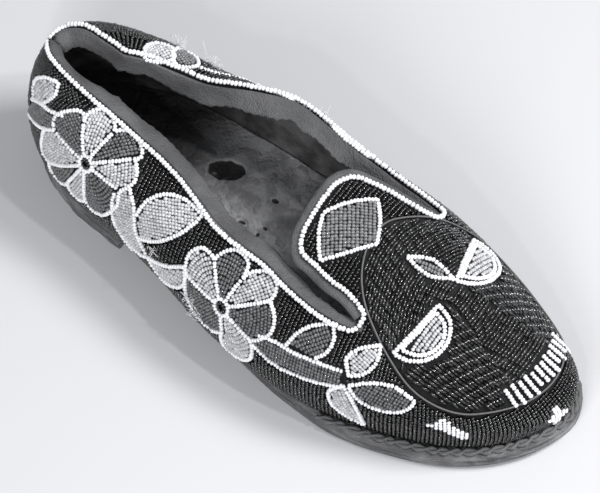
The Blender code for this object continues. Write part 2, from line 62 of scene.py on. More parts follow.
def through(*stations):
    """A smooth function through (x, value) stations: cubic pieces whose slopes never overshoot them."""
    xs, ys = np.array(stations, float).T
    spans = np.diff(xs)
    rises = np.diff(ys) / spans
    slopes = np.concatenate([rises[:1], np.zeros(len(xs) - 2), rises[-1:]])
    mean = (rises[1:] * spans[:-1] + rises[:-1] * spans[1:]) / (spans[1:] + spans[:-1])
    steepest = 3 * np.minimum(abs(rises[1:]), abs(rises[:-1]))
    same_way = rises[1:] * rises[:-1] > 0
    slopes[1:-1] = np.where(same_way, np.sign(mean) * np.minimum(abs(mean), steepest), 0)

    def value(x):
        x = np.clip(x, xs[0], xs[-1])
        k = np.clip(np.searchsorted(xs, x, side="right") - 1, 0, len(spans) - 1)
        t = (x - xs[k]) / spans[k]
        return (ys[k] * (2 * t**3 - 3 * t**2 + 1) + slopes[k] * spans[k] * (t**3 - 2 * t**2 + t)
                + ys[k + 1] * (3 * t**2 - 2 * t**3) + slopes[k + 1] * spans[k] * (t**3 - t**2))

    return value


def smooth_line(points, steps=12, closed=True):
    """A smooth line through points: cubic pieces with tangents weighted by the spans beside them. An open
    line is first carried one span past both ends, so that it starts and ends straight."""
    p = np.array(points, float)
    if not closed:
        p = np.vstack([2 * p[0] - p[1], p, 2 * p[-1] - p[-2]])
    after, before = np.roll(p, -1, 0), np.roll(p, 1, 0)
    span = np.linalg.norm(after - p, axis=1)[:, None]
    span_before = np.roll(span, 1, 0)
    tangent = ((after - p) / span * span_before + (p - before) / span_before * span) / (span + span_before)
    t = np.linspace(0, 1, steps, endpoint=False)[None, :, None]
    start, end = tangent * span, np.roll(tangent, -1, 0) * span
    curve = (p[:, None] * (2 * t**3 - 3 * t**2 + 1) + start[:, None] * (t**3 - 2 * t**2 + t)
             + after[:, None] * (3 * t**2 - 2 * t**3) + end[:, None] * (t**3 - t**2))
    if closed:
        return np.vstack([curve.reshape(-1, 2), p[:1]])
    return np.vstack([curve[1:-2].reshape(-1, 2), p[-2:-1]])


RIM = smooth_line(WIDEST_LINE, 40)
RIM_LENGTHS = np.concatenate([[0], np.cumsum(np.linalg.norm(np.diff(RIM, axis=0), axis=1))])
GIRTH = RIM_LENGTHS[-1]
TOE_INDEX = int(np.argmax(RIM[:, 0]))
TOE = RIM_LENGTHS[TOE_INDEX]

spine_y = through((45, 6), (150, 6), (190, 3))
widest_z = through((-5, 36), (60, 30), (110, 24), (170, 21), (230, 20), (264, 19))
crest_rise = through((-5, 66), (20, 48), (45, 40), (60, 39), (90, 42), (120, 48), (143, 52), (160, 50),
                     (180, 45), (205, 38), (230, 29), (264, 15))
side_rise = (
    through((-5, 66), (4, 60), (20, 50), (41, 40), (66, 36), (92, 37.5), (115, 39.5), (136, 40.5), (150, 43),
            (165, 45), (180, 45), (205, 38), (230, 29), (264, 15)),
    through((-5, 66), (4, 60), (26, 48), (44, 44), (66, 43), (83, 49), (110, 60), (130, 55), (155, 50),
            (180, 47), (205, 38), (230, 29), (264, 15)),
)
fullness = (
    through((-5, 3.0), (10, 2.6), (30, 2.3), (264, 2.3)),
    through((-5, 3.0), (30, 3.2), (100, 3.2), (130, 2.8), (155, 2.5), (180, 2.3), (264, 2.3)),
)
tuck_in = through((-5, 4.5), (40, 4.5), (60, 5.5), (88, 7.5), (112, 8), (135, 6.5), (165, 3), (225, 2.5),
                  (250, 3), (264, 3.5))
outsole_underside = through((-5, 11.2), (59, 11.2), (78, 9), (110, 3.6), (150, 0), (225, 0), (264, 3.5))
welt_fade = through((78, 0), (108, 1), (264, 1))
OUTSOLE_THICK = 4.0
WELT_THICK = 2.0
GAP = 0.3


def by_side(pair, s, x):
    """The lateral function of a pair on the lateral side, and the medial one elsewhere."""
    return np.where(s % GIRTH > TOE, pair[1](x), pair[0](x))


def rim(s):
    """A point of the widest line."""
    s = np.asarray(s, float) % GIRTH
    return np.stack([np.interp(s, RIM_LENGTHS, RIM[:, 0]), np.interp(s, RIM_LENGTHS, RIM[:, 1])], -1)


def spine(s):
    """The spine point that faces s: the same X, held between the two poles."""
    x = np.clip(rim(s)[..., 0], BACK_POLE[0], TOE_POLE[0])
    return np.stack([x, spine_y(x)], -1)


def radial(s):
    """The level unit vector from the spine out to the widest line."""
    out = rim(s) - spine(s)
    return out / np.linalg.norm(out, axis=-1, keepdims=True)


def rim_at_x(x, medial):
    """s where the widest line passes x on one side."""
    if medial:
        return np.interp(-x, -RIM[TOE_INDEX:-60, 0], RIM_LENGTHS[TOE_INDEX:-60])
    return np.interp(x, RIM[60:TOE_INDEX, 0], RIM_LENGTHS[60:TOE_INDEX])


def feather_z(x):
    """Height of the feather edge, where the upper meets the outsole behind and the welt in front."""
    return outsole_underside(x) + OUTSOLE_THICK + GAP + (WELT_THICK + GAP) * welt_fade(x)


def feather(s):
    """The feather edge from above: the widest line, tucked in."""
    return rim(s) - radial(s) * tuck_in(rim(s)[..., 0])[..., None]


def skin(s, v):
    """The outer face of the upper: a quarter round from feather to widest line, then a vault whose height is
    the crest's or the side's rise times the root of 1 - share^fullness, share being 2 - v."""
    s, v = np.broadcast_arrays(np.asarray(s, float), np.asarray(v, float))
    angle = np.clip(v, 0, 1) * np.pi / 2
    low, wide = feather(s), rim(s)
    wall_plan = low + (wide - low) * np.sin(angle)[..., None]
    z_low, z_wide = feather_z(low[..., 0]), widest_z(wide[..., 0])
    wall_z = z_low + (z_wide - z_low) * (1 - np.cos(angle))
    share = np.clip(2 - v, 0, 1)
    vault_plan = spine(s) + (wide - spine(s)) * share[..., None]
    x = vault_plan[..., 0]
    blend = np.clip(share / 0.7, 0, 1)
    blend = blend**2 * (3 - 2 * blend)
    rise = crest_rise(x) * (1 - blend) + by_side(side_rise, s, x) * blend
    vault_z = widest_z(x) + rise * np.sqrt(np.clip(1 - share ** by_side(fullness, s, x), 0, 1))
    wall = np.concatenate([wall_plan, wall_z[..., None]], -1)
    vault = np.concatenate([vault_plan, vault_z[..., None]], -1)
    return np.where((v < 1)[..., None], wall, vault)


def skin_normal(s, v):
    """Outward unit normal: the cross of small steps along s and v, and near the spine from the crest."""
    s, v = np.broadcast_arrays(np.asarray(s, float), np.asarray(v, float))
    ds, dv = 0.5, 0.01
    v_low = np.clip(v - dv, 0, 1.98)
    normal = np.cross(skin(s + ds, v) - skin(s - ds, v), skin(s, v_low + 2 * dv) - skin(s, v_low))
    x = spine(s)[..., 0]
    slope = (crest_rise(x + 1) + widest_z(x + 1) - crest_rise(x - 1) - widest_z(x - 1)) / 2
    crest = np.stack([-slope, 0 * slope, 1 + 0 * slope], -1)
    normal = np.where((v > 1.995)[..., None], crest, normal)
    return normal / np.maximum(np.linalg.norm(normal, axis=-1, keepdims=True), 1e-9)


def under_skin(s, v, depth):
    """The point a depth straight under the skin."""
    return skin(s, v) - skin_normal(s, v) * depth


def eased(w):
    """v for an even parameter w: w itself up the wall and 1 + (w - 1)^2 over the vault, whose side rises
    steeply from the widest line."""
    return np.where(w < 1, w, 1 + (w - 1) ** 2)


def uneased(v):
    """The inverse of eased: 1 plus the root of v - 1 over the vault."""
    return np.where(v < 1, v, 1 + np.sqrt(np.maximum(v - 1, 0)))


# --- The hide of the upper --------------------------------------------------------------------------------
# Two quarters and a vamp with its tongue, cut from thin soft hide, blackened on the side the beads are sewn
# to. They're closed at the back seam and at the seams beside the tongue, and lasted under the insole.

HIDE_DEPTH = 1.75
HIDE_THICK = 1.2
LASTING_MARGIN = 8.0
VAMP_SEAM_X = 184.2
TONGUE_FRONT_X = 142
SIDES = ("lateral", "medial")
topline_share = (
    through((0, 0.84), (10, 0.74), (18, 0.63), (28, 0.52), (50, 0.4), (68, 0.37), (82, 0.39), (105, 0.45),
            (120, 0.52), (132, 0.57), (158, 0.585), (172, 0.64), (192, 0.69), (208, 0.68)),
    through((0, 0.84), (10, 0.81), (16, 0.68), (23, 0.51), (30, 0.42), (40, 0.345), (60, 0.37), (84, 0.45),
            (95, 0.5), (107, 0.59), (120, 0.68), (135, 0.78), (150, 0.76), (165, 0.71), (185, 0.69),
            (209, 0.68)),
)
tongue_edge = (
    through((142, -14), (145.5, -18.6), (153, -20.6), (162, -22.9), (172, -23.7), (180, -26.3),
            (184.2, -28.3)),
    through((142, 13), (145.5, 19.2), (153, 23), (162, 25.2), (172, 26.3), (180, 28), (184.2, 30.7)),
)


class Wire:
    """A shader socket that can stand in a sum: each operator adds one Math node to its finish."""

    def __init__(self, finish, socket):
        self.finish, self.socket = finish, socket

    def math(self, operation, first, second):
        return self.finish.node("ShaderNodeMath", {"operation": operation}, {0: first, 1: second})

    def __add__(self, other):
        return self.math("ADD", self, other)

    def __sub__(self, other):
        return self.math("SUBTRACT", self, other)

    def __rsub__(self, other):
        return self.math("SUBTRACT", other, self)

    def __mul__(self, other):
        return self.math("MULTIPLY", self, other)

    __radd__, __rmul__ = __add__, __mul__


class Finish:
    """A material under way: its Principled shader with the constants given, and nodes added one by one."""

    def __init__(self, name, **constants):
        self.material = bpy.data.materials.new(name)
        self.material.use_nodes = True
        self.tree = self.material.node_tree
        self.shader = self.tree.nodes["Principled BSDF"]
        for socket, value in constants.items():
            self.shader.inputs[socket.replace("_", " ")].default_value = value

    def node(self, kind, settings=None, sockets=None, output=0):
        """Adds a node: its settings first, then each socket's value or link. Gives back one output."""
        made = self.tree.nodes.new(kind)
        for key, value in (settings or {}).items():
            setattr(made, key, value)
        for key, value in (sockets or {}).items():
            if isinstance(value, Wire):
                self.tree.links.new(value.socket, made.inputs[key])
            else:
                made.inputs[key].default_value = value
        return Wire(self, made.outputs[output])

    def place(self):
        """Object coordinates, in metres."""
        return self.node("ShaderNodeTexCoord", output="Object")

    def noise(self, scale, detail=4.0, stretch=(1, 1, 1)):
        """Noise with a feature every 1 / scale metres, drawn out along the axes by stretch."""
        where = self.node("ShaderNodeMapping", None, {"Vector": self.place(), "Scale": stretch})
        return self.node("ShaderNodeTexNoise", None, {"Vector": where, "Scale": scale, "Detail": detail})

    def cells(self, scale):
        """Distance to the nearest of scattered points, for pores and pebbles."""
        return self.node("ShaderNodeTexVoronoi", None, {"Vector": self.place(), "Scale": scale})

    def attribute(self, name):
        """A number that the mesh carries at its points."""
        return self.node("ShaderNodeAttribute", {"attribute_name": name}, output="Fac")

    def spread(self, value, low, high, to_low=0.0, to_high=1.0):
        """Maps low..high smoothly onto to_low..to_high, held at both ends."""
        sockets = {"Value": value, "From Min": low, "From Max": high, "To Min": to_low, "To Max": to_high}
        return self.node("ShaderNodeMapRange", {"interpolation_type": "SMOOTHSTEP"}, sockets)

    def mix(self, share, first, second):
        """Colours mixed by share: first at 0, second at 1."""
        return self.node("ShaderNodeMix", {"data_type": "RGBA"}, {0: share, 6: first, 7: second}, output=2)

    def feed(self, socket, value):
        """Links a value to a socket of the Principled shader."""
        self.tree.links.new(value.socket, self.shader.inputs[socket])

    def bump(self, height, distance, strength=1.0):
        """Relief of a height field, distance metres deep at strength 1. Gives back the finished material."""
        sockets = {"Height": height, "Distance": distance, "Strength": strength}
        self.feed("Normal", self.node("ShaderNodeBump", None, sockets))
        return self.material


def grey(value):
    """A neutral colour, a touch cooler than plain grey."""
    return (value, value, value * 1.03, 1.0)


def hide_finish(name, dark, light, roughness, crease=600):
    """Soft hide: two tones in broad patches, fine grain, and a pebble of pores in the bump."""
    finish = Finish(name, Specular_IOR_Level=0.3)
    patches = finish.spread(finish.noise(55, 5), 0.35, 0.68)
    grain = finish.noise(crease, 6)
    finish.feed("Base Color", finish.mix(patches * 0.75 + grain * 0.25, grey(dark), grey(light)))
    finish.feed("Roughness", finish.spread(grain, 0.3, 0.7, roughness - 0.1, roughness + 0.1))
    return finish.bump(grain * 0.8 + finish.cells(1400) * 0.4, 0.0009, 0.9)


def build_mesh(name, finish, grids, closed_rows=False, caps=False, attributes=None, recalculate=True):
    """A mesh from grids of points in millimetres: quads between neighbours, with shared points merged.
    closed_rows joins each grid's last row to its first, and caps fills its first and last column."""
    points, faces, first = [], [], 0
    for grid in grids:
        rows, columns = grid.shape[:2]
        at = first + np.arange(rows * columns).reshape(rows, columns)
        if closed_rows:
            at = np.vstack([at, at[:1]])
        quads = np.stack([at[:-1, :-1], at[1:, :-1], at[1:, 1:], at[:-1, 1:]], -1).reshape(-1, 4)
        faces += quads.tolist()
        if caps:
            faces += [at[:-1, 0].tolist(), at[:-1, -1][::-1].tolist()] if closed_rows else []
        points.append(grid.reshape(-1, 3))
        first += rows * columns
    mesh = bpy.data.meshes.new(name)
    mesh.from_pydata(((np.concatenate(points) - CENTRE) * MM).tolist(), [], faces)
    for key, values in (attributes or {}).items():
        layer = mesh.attributes.new(key, "FLOAT", "POINT")
        layer.data.foreach_set("value", np.asarray(values, np.float32).reshape(-1))
    work = bmesh.new()
    work.from_mesh(mesh)
    bmesh.ops.remove_doubles(work, verts=work.verts, dist=0.01 * MM)
    if recalculate:
        bmesh.ops.recalc_face_normals(work, faces=work.faces)
    work.to_mesh(mesh)
    work.free()
    mesh.shade_smooth()
    mesh.materials.append(finish)
    piece = bpy.data.objects.new(name, mesh)
    bpy.context.scene.collection.objects.link(piece)
    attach(piece, "root")
    return piece


def thicken(piece, thickness, offset=-1):
    """Gives an open sheet its wall, on its back for offset -1."""
    wall = piece.modifiers.new("wall", "SOLIDIFY")
    wall.thickness = thickness * MM
    wall.offset = offset
    return piece


def topline_v(s):
    """v of the topline: 2 less the share at this distance from the centre back."""
    distance = np.where(s % GIRTH > TOE, GIRTH - s % GIRTH, s)
    return 2 - by_side(topline_share, s, distance)


def quarter_s(side, columns=150):
    """s along a quarter, from its back seam to its seam with the vamp."""
    seam = rim_at_x(VAMP_SEAM_X, bool(side))
    return np.linspace(0.5, seam, columns) if side == 0 else np.linspace(seam, GIRTH - 0.5, columns)


def lasted(s, sheet, margin):
    """A sheet with its lasting margin: rows at the sole's top, running in under the foot from its edge."""
    inwards = np.linspace(margin, 1, 5)[:, None]
    plan = sheet[:, :1, :2] - radial(s)[:, None] * inwards
    z = np.broadcast_to(feather_z(sheet[:, :1, :1]) + 0.7, plan[..., :1].shape)
    return np.concatenate([np.concatenate([plan, z], -1), sheet], 1)


def quarter_sheet(side, depth, low_v=0.0, below_topline=0.0, margin=0.0):
    """A quarter as a grid: v from low_v up to the topline, with its lasting margin if it has one."""
    s = quarter_s(side)[:, None]
    t = np.linspace(0, 1, 34)[None, :]
    v = eased(low_v + (uneased(topline_v(s) - below_topline) - low_v) * t)
    sheet = under_skin(s, v, depth)
    return lasted(s[:, 0], sheet, margin) if margin else sheet


def vamp_sheets(depth, low_v=0.0, margin=0.0):
    """The vamp as a fan round the toe, and its tongue as rows across the foot between the tongue's edges."""
    ends = rim_at_x(VAMP_SEAM_X, False), rim_at_x(VAMP_SEAM_X, True)
    s = np.linspace(*ends, 121)[:, None]
    fan = under_skin(s, eased(np.linspace(low_v, 2, 36))[None, :], depth)
    fan = lasted(s[:, 0], fan, margin) if margin else fan
    x = np.linspace(TONGUE_FRONT_X + 0.2, VAMP_SEAM_X + 0.4, 30)[:, None]
    across = np.linspace(0, 1, 33)[None, :]
    y = tongue_edge[0](x) + 0.6 + (tongue_edge[1](x) - tongue_edge[0](x) - 1.2) * across
    return fan, under_skin(*on_top(x + 0 * y, y), depth)


def heel_angle(xy):
    """Angle about the back pole, from the medial side round the heel to the lateral side."""
    return np.arctan2(BACK_POLE[1] - xy[..., 1], BACK_POLE[0] - xy[..., 0])


def toe_angle(xy):
    """Angle about the toe pole, from the lateral side round the toe to the medial side."""
    return np.arctan2(xy[..., 1] - TOE_POLE[1], xy[..., 0] - TOE_POLE[0])


HEEL_S = np.linspace(rim_at_x(BACK_POLE[0], True) - GIRTH, rim_at_x(BACK_POLE[0], False), 300)
TOE_S = np.linspace(rim_at_x(TOE_POLE[0], False), rim_at_x(TOE_POLE[0], True), 400)


def on_top(x, y):
    """The place over a plan position: straight across between the poles, and by angle round either pole."""
    xy = np.stack(np.broadcast_arrays(np.asarray(x, float), np.asarray(y, float)), -1)
    x, y = xy[..., 0], xy[..., 1]
    middle_x = np.clip(x, BACK_POLE[0], TOE_POLE[0])
    s = np.where(y > spine_y(middle_x), rim_at_x(middle_x, True), rim_at_x(middle_x, False))
    s = np.where(x < BACK_POLE[0], np.interp(heel_angle(xy), heel_angle(rim(HEEL_S)), HEEL_S), s)
    s = np.where(x > TOE_POLE[0], np.interp(toe_angle(xy), toe_angle(rim(TOE_S)), TOE_S), s)
    reach = np.linalg.norm(rim(s) - spine(s), axis=-1)
    return s % GIRTH, 2 - np.linalg.norm(xy - spine(s), axis=-1) / reach


upper_hide = hide_finish("upper_hide", 0.004, 0.014, 0.85)
for side, word in enumerate(SIDES):
    sheet = quarter_sheet(side, HIDE_DEPTH, 0.04, 0.01, LASTING_MARGIN)
    piece = thicken(build_mesh(f"hide_quarter_{word}", upper_hide, [sheet], recalculate=False), HIDE_THICK)
    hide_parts(f"quarter_leather_{word}")
vamp = build_mesh("hide_vamp", upper_hide, vamp_sheets(HIDE_DEPTH, 0.04, LASTING_MARGIN), recalculate=False)
thicken(vamp, HIDE_THICK)
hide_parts("vamp_leather")

# --- Counter, puff and lining -----------------------------------------------------------------------------
# Leather board stiffens the heel and the toe between hide and lining. The lining is thin hide, creased and
# blackened by wear, glued behind the upper.

STIFFENER_DEPTH = 3.3
STIFFENER_THICK = 1.2
QUARTER_LINING_DEPTH = 5.4
VAMP_LINING_DEPTH = 4.2
LINING_THICK = 0.9
lining_hide = hide_finish("lining_hide", 0.008, 0.15, 0.7, 260)
board = hide_finish("leather_board", 0.2, 0.3, 0.85)
counter_s = np.linspace(-52, 52, 60)[:, None]
counter_v = eased(np.linspace(0.2, 1.4, 20))[None, :]
counter = build_mesh("counter_board", board, [under_skin(counter_s, counter_v, STIFFENER_DEPTH)],
                     recalculate=False)
puff_s = np.linspace(rim_at_x(225, False), rim_at_x(225, True), 60)[:, None]
puff_v = eased(np.linspace(0.2, 1.7, 22))[None, :]
puff = build_mesh("puff_board", board, [under_skin(puff_s, puff_v, STIFFENER_DEPTH)], recalculate=False)
for piece, node in ((counter, "heel_counter"), (puff, "toe_puff")):
    thicken(piece, STIFFENER_THICK)
    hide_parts(node)


def crumple(points, size, seed):
    """Shifts points along Z and Y by a sum of slanting waves, so that a sheet looks worn and creased."""
    rng = np.random.default_rng(seed)
    shift = np.zeros(points.shape[:-1])
    for _ in range(6):
        wave = rng.normal(size=3) * 0.16
        shift += np.sin(points @ wave + rng.uniform(0, 6.3)) / 6
    return points + shift[..., None] * size * np.array([0.2, 0.7, 0.7])


for side, word in enumerate(SIDES):
    sheet = crumple(quarter_sheet(side, QUARTER_LINING_DEPTH, low_v=0.08, below_topline=0.05), 1.8, 11 + side)
    piece = build_mesh(f"lining_quarter_{word}", lining_hide, [sheet], recalculate=False)
    thicken(piece, LINING_THICK)
    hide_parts(f"quarter_lining_{word}")
vamp_lining = build_mesh("lining_vamp", lining_hide, vamp_sheets(VAMP_LINING_DEPTH, low_v=0.15),
                         recalculate=False)
thicken(vamp_lining, LINING_THICK)
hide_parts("vamp_lining")

# --- Outsole, welt and stacked heel -----------------------------------------------------------------------
# Hard leather cut in layers and stitched: a thin outsole, a welt round the forefoot that stands out of the
# upper, and a low heel of three lifts and a top piece, held by iron nails. The edges are worn and burnished.

HEEL_BREAST_X = 59.0
ledge_width = (
    through((-5, 1), (59, 0.6), (120, 0.6), (160, 1.5), (182, 5), (207, 6.2), (246, 6.5), (264, 5.8)),
    through((-5, 1), (59, 0.6), (150, 0.6), (180, 1.5), (222, 5.2), (246, 5.6), (264, 5.8)),
)


def sole_edge(s):
    """The sole's edge from above: the feather edge moved out by the ledge."""
    return feather(s) + radial(s) * by_side(ledge_width, s, rim(s)[..., 0])[..., None]


def foot_columns(step):
    """s in order round the whole foot, with the same X stations on both sides between the poles."""
    ladder = np.arange(BACK_POLE[0], TOE_POLE[0] + 0.01, step)
    return np.concatenate([HEEL_S[::10], rim_at_x(ladder, False), TOE_S[::8], rim_at_x(ladder, True)[::-1]])


def layer_of_sole(name, finish, s, edge, top, low, caps=False, inner=0.0):
    """A sole layer: its underside from the spine out, an edge rounded like a worn corner, and its top back
    to the spine. top(x) and low(x) are the heights of its faces."""
    centre = spine(s)
    out = (edge - centre) * (1 - inner)
    centre = edge - out
    corner = 0.8 / np.linalg.norm(out, axis=-1)[:, None]
    shares = np.concatenate([np.linspace(0, 0.96, 8), [1], [1], np.linspace(0.96, 0, 8)])[None, :]
    shares = np.where((shares == 1), 1 + 0 * corner, np.minimum(shares, 1 - corner))
    rise = np.concatenate([np.zeros(8), [0.28, 0.72], np.ones(8)])[None, :]
    plan = centre[:, None] + out[:, None] * shares[..., None]
    z = low(plan[..., 0]) * (1 - rise) + top(plan[..., 0]) * rise
    grid = np.concatenate([plan, z[..., None]], -1)
    if caps:
        return build_mesh(name, finish, [grid.transpose(1, 0, 2)], closed_rows=True, caps=True)
    return build_mesh(name, finish, [grid], closed_rows=True)


def sole_finish(name, dark, light):
    """Compressed leather: fibres in thin level layers along the edge, scuffs, and a soft burnish."""
    finish = Finish(name)
    layers = finish.spread(finish.noise(330, 6, (0.12, 0.12, 3.0)), 0.35, 0.65)
    scuffs = finish.spread(finish.noise(90, 6), 0.42, 0.7)
    finish.feed("Base Color", finish.mix(scuffs * 0.5 + layers * 0.5, grey(dark), grey(light)))
    finish.feed("Roughness", finish.spread(scuffs, 0, 1, 0.5, 0.75))
    return finish.bump(layers * 0.7 + finish.noise(1100, 4) * 0.4, 0.0016, 0.9)


sole_leather = sole_finish("sole_leather", 0.07, 0.27)
round_foot = foot_columns(2.5)
outsole = layer_of_sole("outsole_layer", sole_leather, round_foot, sole_edge(round_foot),
                        lambda x: outsole_underside(x) + OUTSOLE_THICK, outsole_underside)
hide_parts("outsole")

welt_s = np.concatenate([rim_at_x(np.arange(100, 190, 2.5), False), TOE_S[::8],
                         rim_at_x(np.arange(100, 190, 2.5), True)[::-1]])
welt = layer_of_sole("welt_strip", sole_leather, welt_s, sole_edge(welt_s) - radial(welt_s) * 0.3,
                     lambda x: outsole_underside(x) + OUTSOLE_THICK + GAP + WELT_THICK,
                     lambda x: outsole_underside(x) + OUTSOLE_THICK + GAP, caps=True, inner=0.7)
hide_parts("welt")

heel_ladder = np.arange(BACK_POLE[0], HEEL_BREAST_X + 0.01, 2.8)
heel_s = np.concatenate([rim_at_x(heel_ladder, True)[::-1] - GIRTH, HEEL_S[::8],
                         rim_at_x(heel_ladder, False)])
HEEL_LAYERS = {"heel_top_piece": (0.0, 2.5), "heel_lift_1": (2.8, 2.5), "heel_lift_2": (5.6, 2.5),
               "heel_lift_3": (8.4, 2.5)}
heel_layers = []
for node, (low, thick) in HEEL_LAYERS.items():
    worn = 0.3 * np.sin(heel_s * 0.21 + low * 2) + 0.2 * np.sin(heel_s * 0.57 + low)
    heel_edge = sole_edge(heel_s) - radial(heel_s) * (1.4 - low * 0.1 + worn)[:, None]
    piece = layer_of_sole(node + "_leather", sole_leather, heel_s, heel_edge,
                          lambda x, z=low + thick: 0 * x + z, lambda x, z=low: 0 * x + z, caps=True)
    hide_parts(node)
    heel_layers.append(piece)

# --- Inside the sole --------------------------------------------------------------------------------------
# The insole, the cork that fills the forefoot, the wooden shank and the nails are the frame's own solids.
# Leather, cork and wood don't show with the shoe whole, and the nails' ends show in the heel's underside.

cork = Finish("pressed_cork", Roughness=0.9)
cork_grains = cork.cells(700)
cork.feed("Base Color", cork.mix(cork_grains, (0.3, 0.2, 0.12, 1), (0.42, 0.31, 0.2, 1)))
shank_wood = Finish("shank_wood", Roughness=0.65)
wood_grain = shank_wood.noise(250, 5, (0.15, 1, 1))
shank_wood.feed("Base Color", shank_wood.mix(wood_grain, (0.3, 0.21, 0.13, 1), (0.5, 0.38, 0.25, 1)))
nail_iron = Finish("nail_iron", Metallic=1.0)
rust = nail_iron.spread(nail_iron.noise(900, 4), 0.4, 0.65)
nail_iron.feed("Base Color", nail_iron.mix(rust, grey(0.35), (0.12, 0.09, 0.07, 1)))
nail_iron.feed("Roughness", rust * 0.35 + 0.4)
insole_hide = hide_finish("insole_hide", 0.07, 0.15, 0.75)
inner_finishes = {
    "forefoot_filler": cork.bump(cork_grains, 0.0004),
    "shank": shank_wood.bump(wood_grain, 0.0002),
    "insole": insole_hide,
}
for number in range(1, 6):
    inner_finishes[f"heel_nail_{number}"] = nail_iron.material
for node, finish in inner_finishes.items():
    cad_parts[node].data.materials.clear()
    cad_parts[node].data.materials.append(finish)

# --- The sock liner ---------------------------------------------------------------------------------------
# The grey leather that the foot stands on. It has dished under the heel, and wear has eaten into it in a dark
# ragged oval at the waist, with a few pits in front of it. Its colour goes nearly black towards the heel end:
# painted shade for the shadow that falls inside the heel.

SOCK_ABOVE_FEATHER = 7.6
SOCK_INSET = 6.8
SOCK_THICK = 0.8
WEAR_DEPTH = 1.0
# X span in metres over which the liner's colour is painted darker towards the heel: painted shade, not a
# stain.
PAINTED_SHADE_SPAN_M = (-0.07, -0.035)
WORN_SPOTS = [(82, 21, 8.4, 5.1, 0.52), (107, 21, 2.4, 1.7, 0.3), (101.5, 4, 2.8, 1.5, 0.2),
              (111, 7.5, 1.8, 1.5, 0.0), (110, 3, 1.4, 1.8, 0.0)]


def wear_at(x, y):
    """How far the liner is worn through: 1 inside each ragged oval, falling to 0 over a millimetre."""
    ragged = 0.07 * np.sin(x * 0.9 + np.cos(y * 0.7) * 2) + 0.04 * np.sin(y * 1.9 + x)
    wear = np.zeros(np.shape(x))
    for cx, cy, along, across, turn in WORN_SPOTS:
        dx, dy = x - cx, y - cy
        u = dx * np.cos(turn) + dy * np.sin(turn)
        w = dy * np.cos(turn) - dx * np.sin(turn)
        away = np.hypot(u / along, w / across) + ragged * 0.5
        wear = np.maximum(wear, np.clip((1.08 - away) * min(along, across), 0, 1))
    return wear


sock_s = foot_columns(0.8)
sock_edge = feather(sock_s) + radial(sock_s) * (tuck_in(rim(sock_s)[:, 0]) * 0.85 - SOCK_INSET)[:, None]
sock_shares = np.linspace(0, 1, 80)[None, :, None]
sock_plan = spine(sock_s)[:, None] + (sock_edge - spine(sock_s))[:, None] * sock_shares
sock_x, sock_y = sock_plan[..., 0], sock_plan[..., 1]
wear = wear_at(sock_x, sock_y)
dish = np.exp(-((sock_x - 40) / 22) ** 2 - ((sock_y - 6) / 20) ** 2) * 1.2
ripple = 0.25 * np.sin(sock_x * 0.35 + np.sin(sock_y * 0.21) * 2) * np.sin(sock_y * 0.4 + sock_x * 0.05)
edge_lift = 1.2 * sock_shares[..., 0] ** 6
sock_z = feather_z(sock_x) + SOCK_ABOVE_FEATHER - dish - WEAR_DEPTH * wear + ripple + edge_lift

worn_and_shaded_hide = Finish("worn_and_shaded_hide")
worn = worn_and_shaded_hide.attribute("wear")
stains = worn_and_shaded_hide.spread(worn_and_shaded_hide.noise(38, 6), 0.42, 0.7)
fine = worn_and_shaded_hide.noise(700, 6)
specks = worn_and_shaded_hide.spread(worn_and_shaded_hide.noise(420, 2), 0.7, 0.76)
lengthwise = worn_and_shaded_hide.node("ShaderNodeSeparateXYZ", None, {0: worn_and_shaded_hide.place()}, output="X")
# Painted shade: a mask that rises towards the heel end, standing in for the shadow inside the heel.
painted_heel_shade = worn_and_shaded_hide.spread(lengthwise + worn_and_shaded_hide.noise(30, 4) * 0.02, *PAINTED_SHADE_SPAN_M, 1.0, 0.0)
blotches = worn_and_shaded_hide.spread(worn_and_shaded_hide.noise(170, 8), 0.42, 0.62)
clean = worn_and_shaded_hide.mix(stains * 0.5 + blotches * 0.3 + fine * 0.2, grey(0.3), grey(0.05))
clean = worn_and_shaded_hide.mix(specks * 0.6, clean, grey(0.45))
# The colour goes nearly black under the painted shade mask towards the heel end.
clean = worn_and_shaded_hide.mix(painted_heel_shade * 0.92, clean, grey(0.01))
rim_of_hole = worn_and_shaded_hide.spread(worn, 0.05, 0.3) - worn_and_shaded_hide.spread(worn, 0.5, 0.8)
clean = worn_and_shaded_hide.mix(rim_of_hole * 0.6, clean, grey(0.34))
worn_and_shaded_hide.feed("Base Color", worn_and_shaded_hide.mix(worn_and_shaded_hide.spread(worn, 0.5, 0.9), clean, grey(0.004)))
worn_and_shaded_hide.feed("Roughness", worn_and_shaded_hide.spread(fine, 0.3, 0.7, 0.5, 0.75))
worn_and_shaded_hide.bump(fine * 0.6 + blotches * 0.6, 0.0013, 0.8)

sock = build_mesh("sock_liner_sheet", worn_and_shaded_hide.material, [np.stack([sock_x, sock_y, sock_z], -1)],
                  closed_rows=True, attributes={"wear": wear})
thicken(sock, SOCK_THICK)
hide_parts("sock_liner")

# --- Collar facings ---------------------------------------------------------------------------------------
# A strip of thin grey hide is sewn under the topline beads of each quarter and turned in and down, a lazy
# slope on the lateral side and steep on the medial one. Its lower edge was cut with shears and has torn.

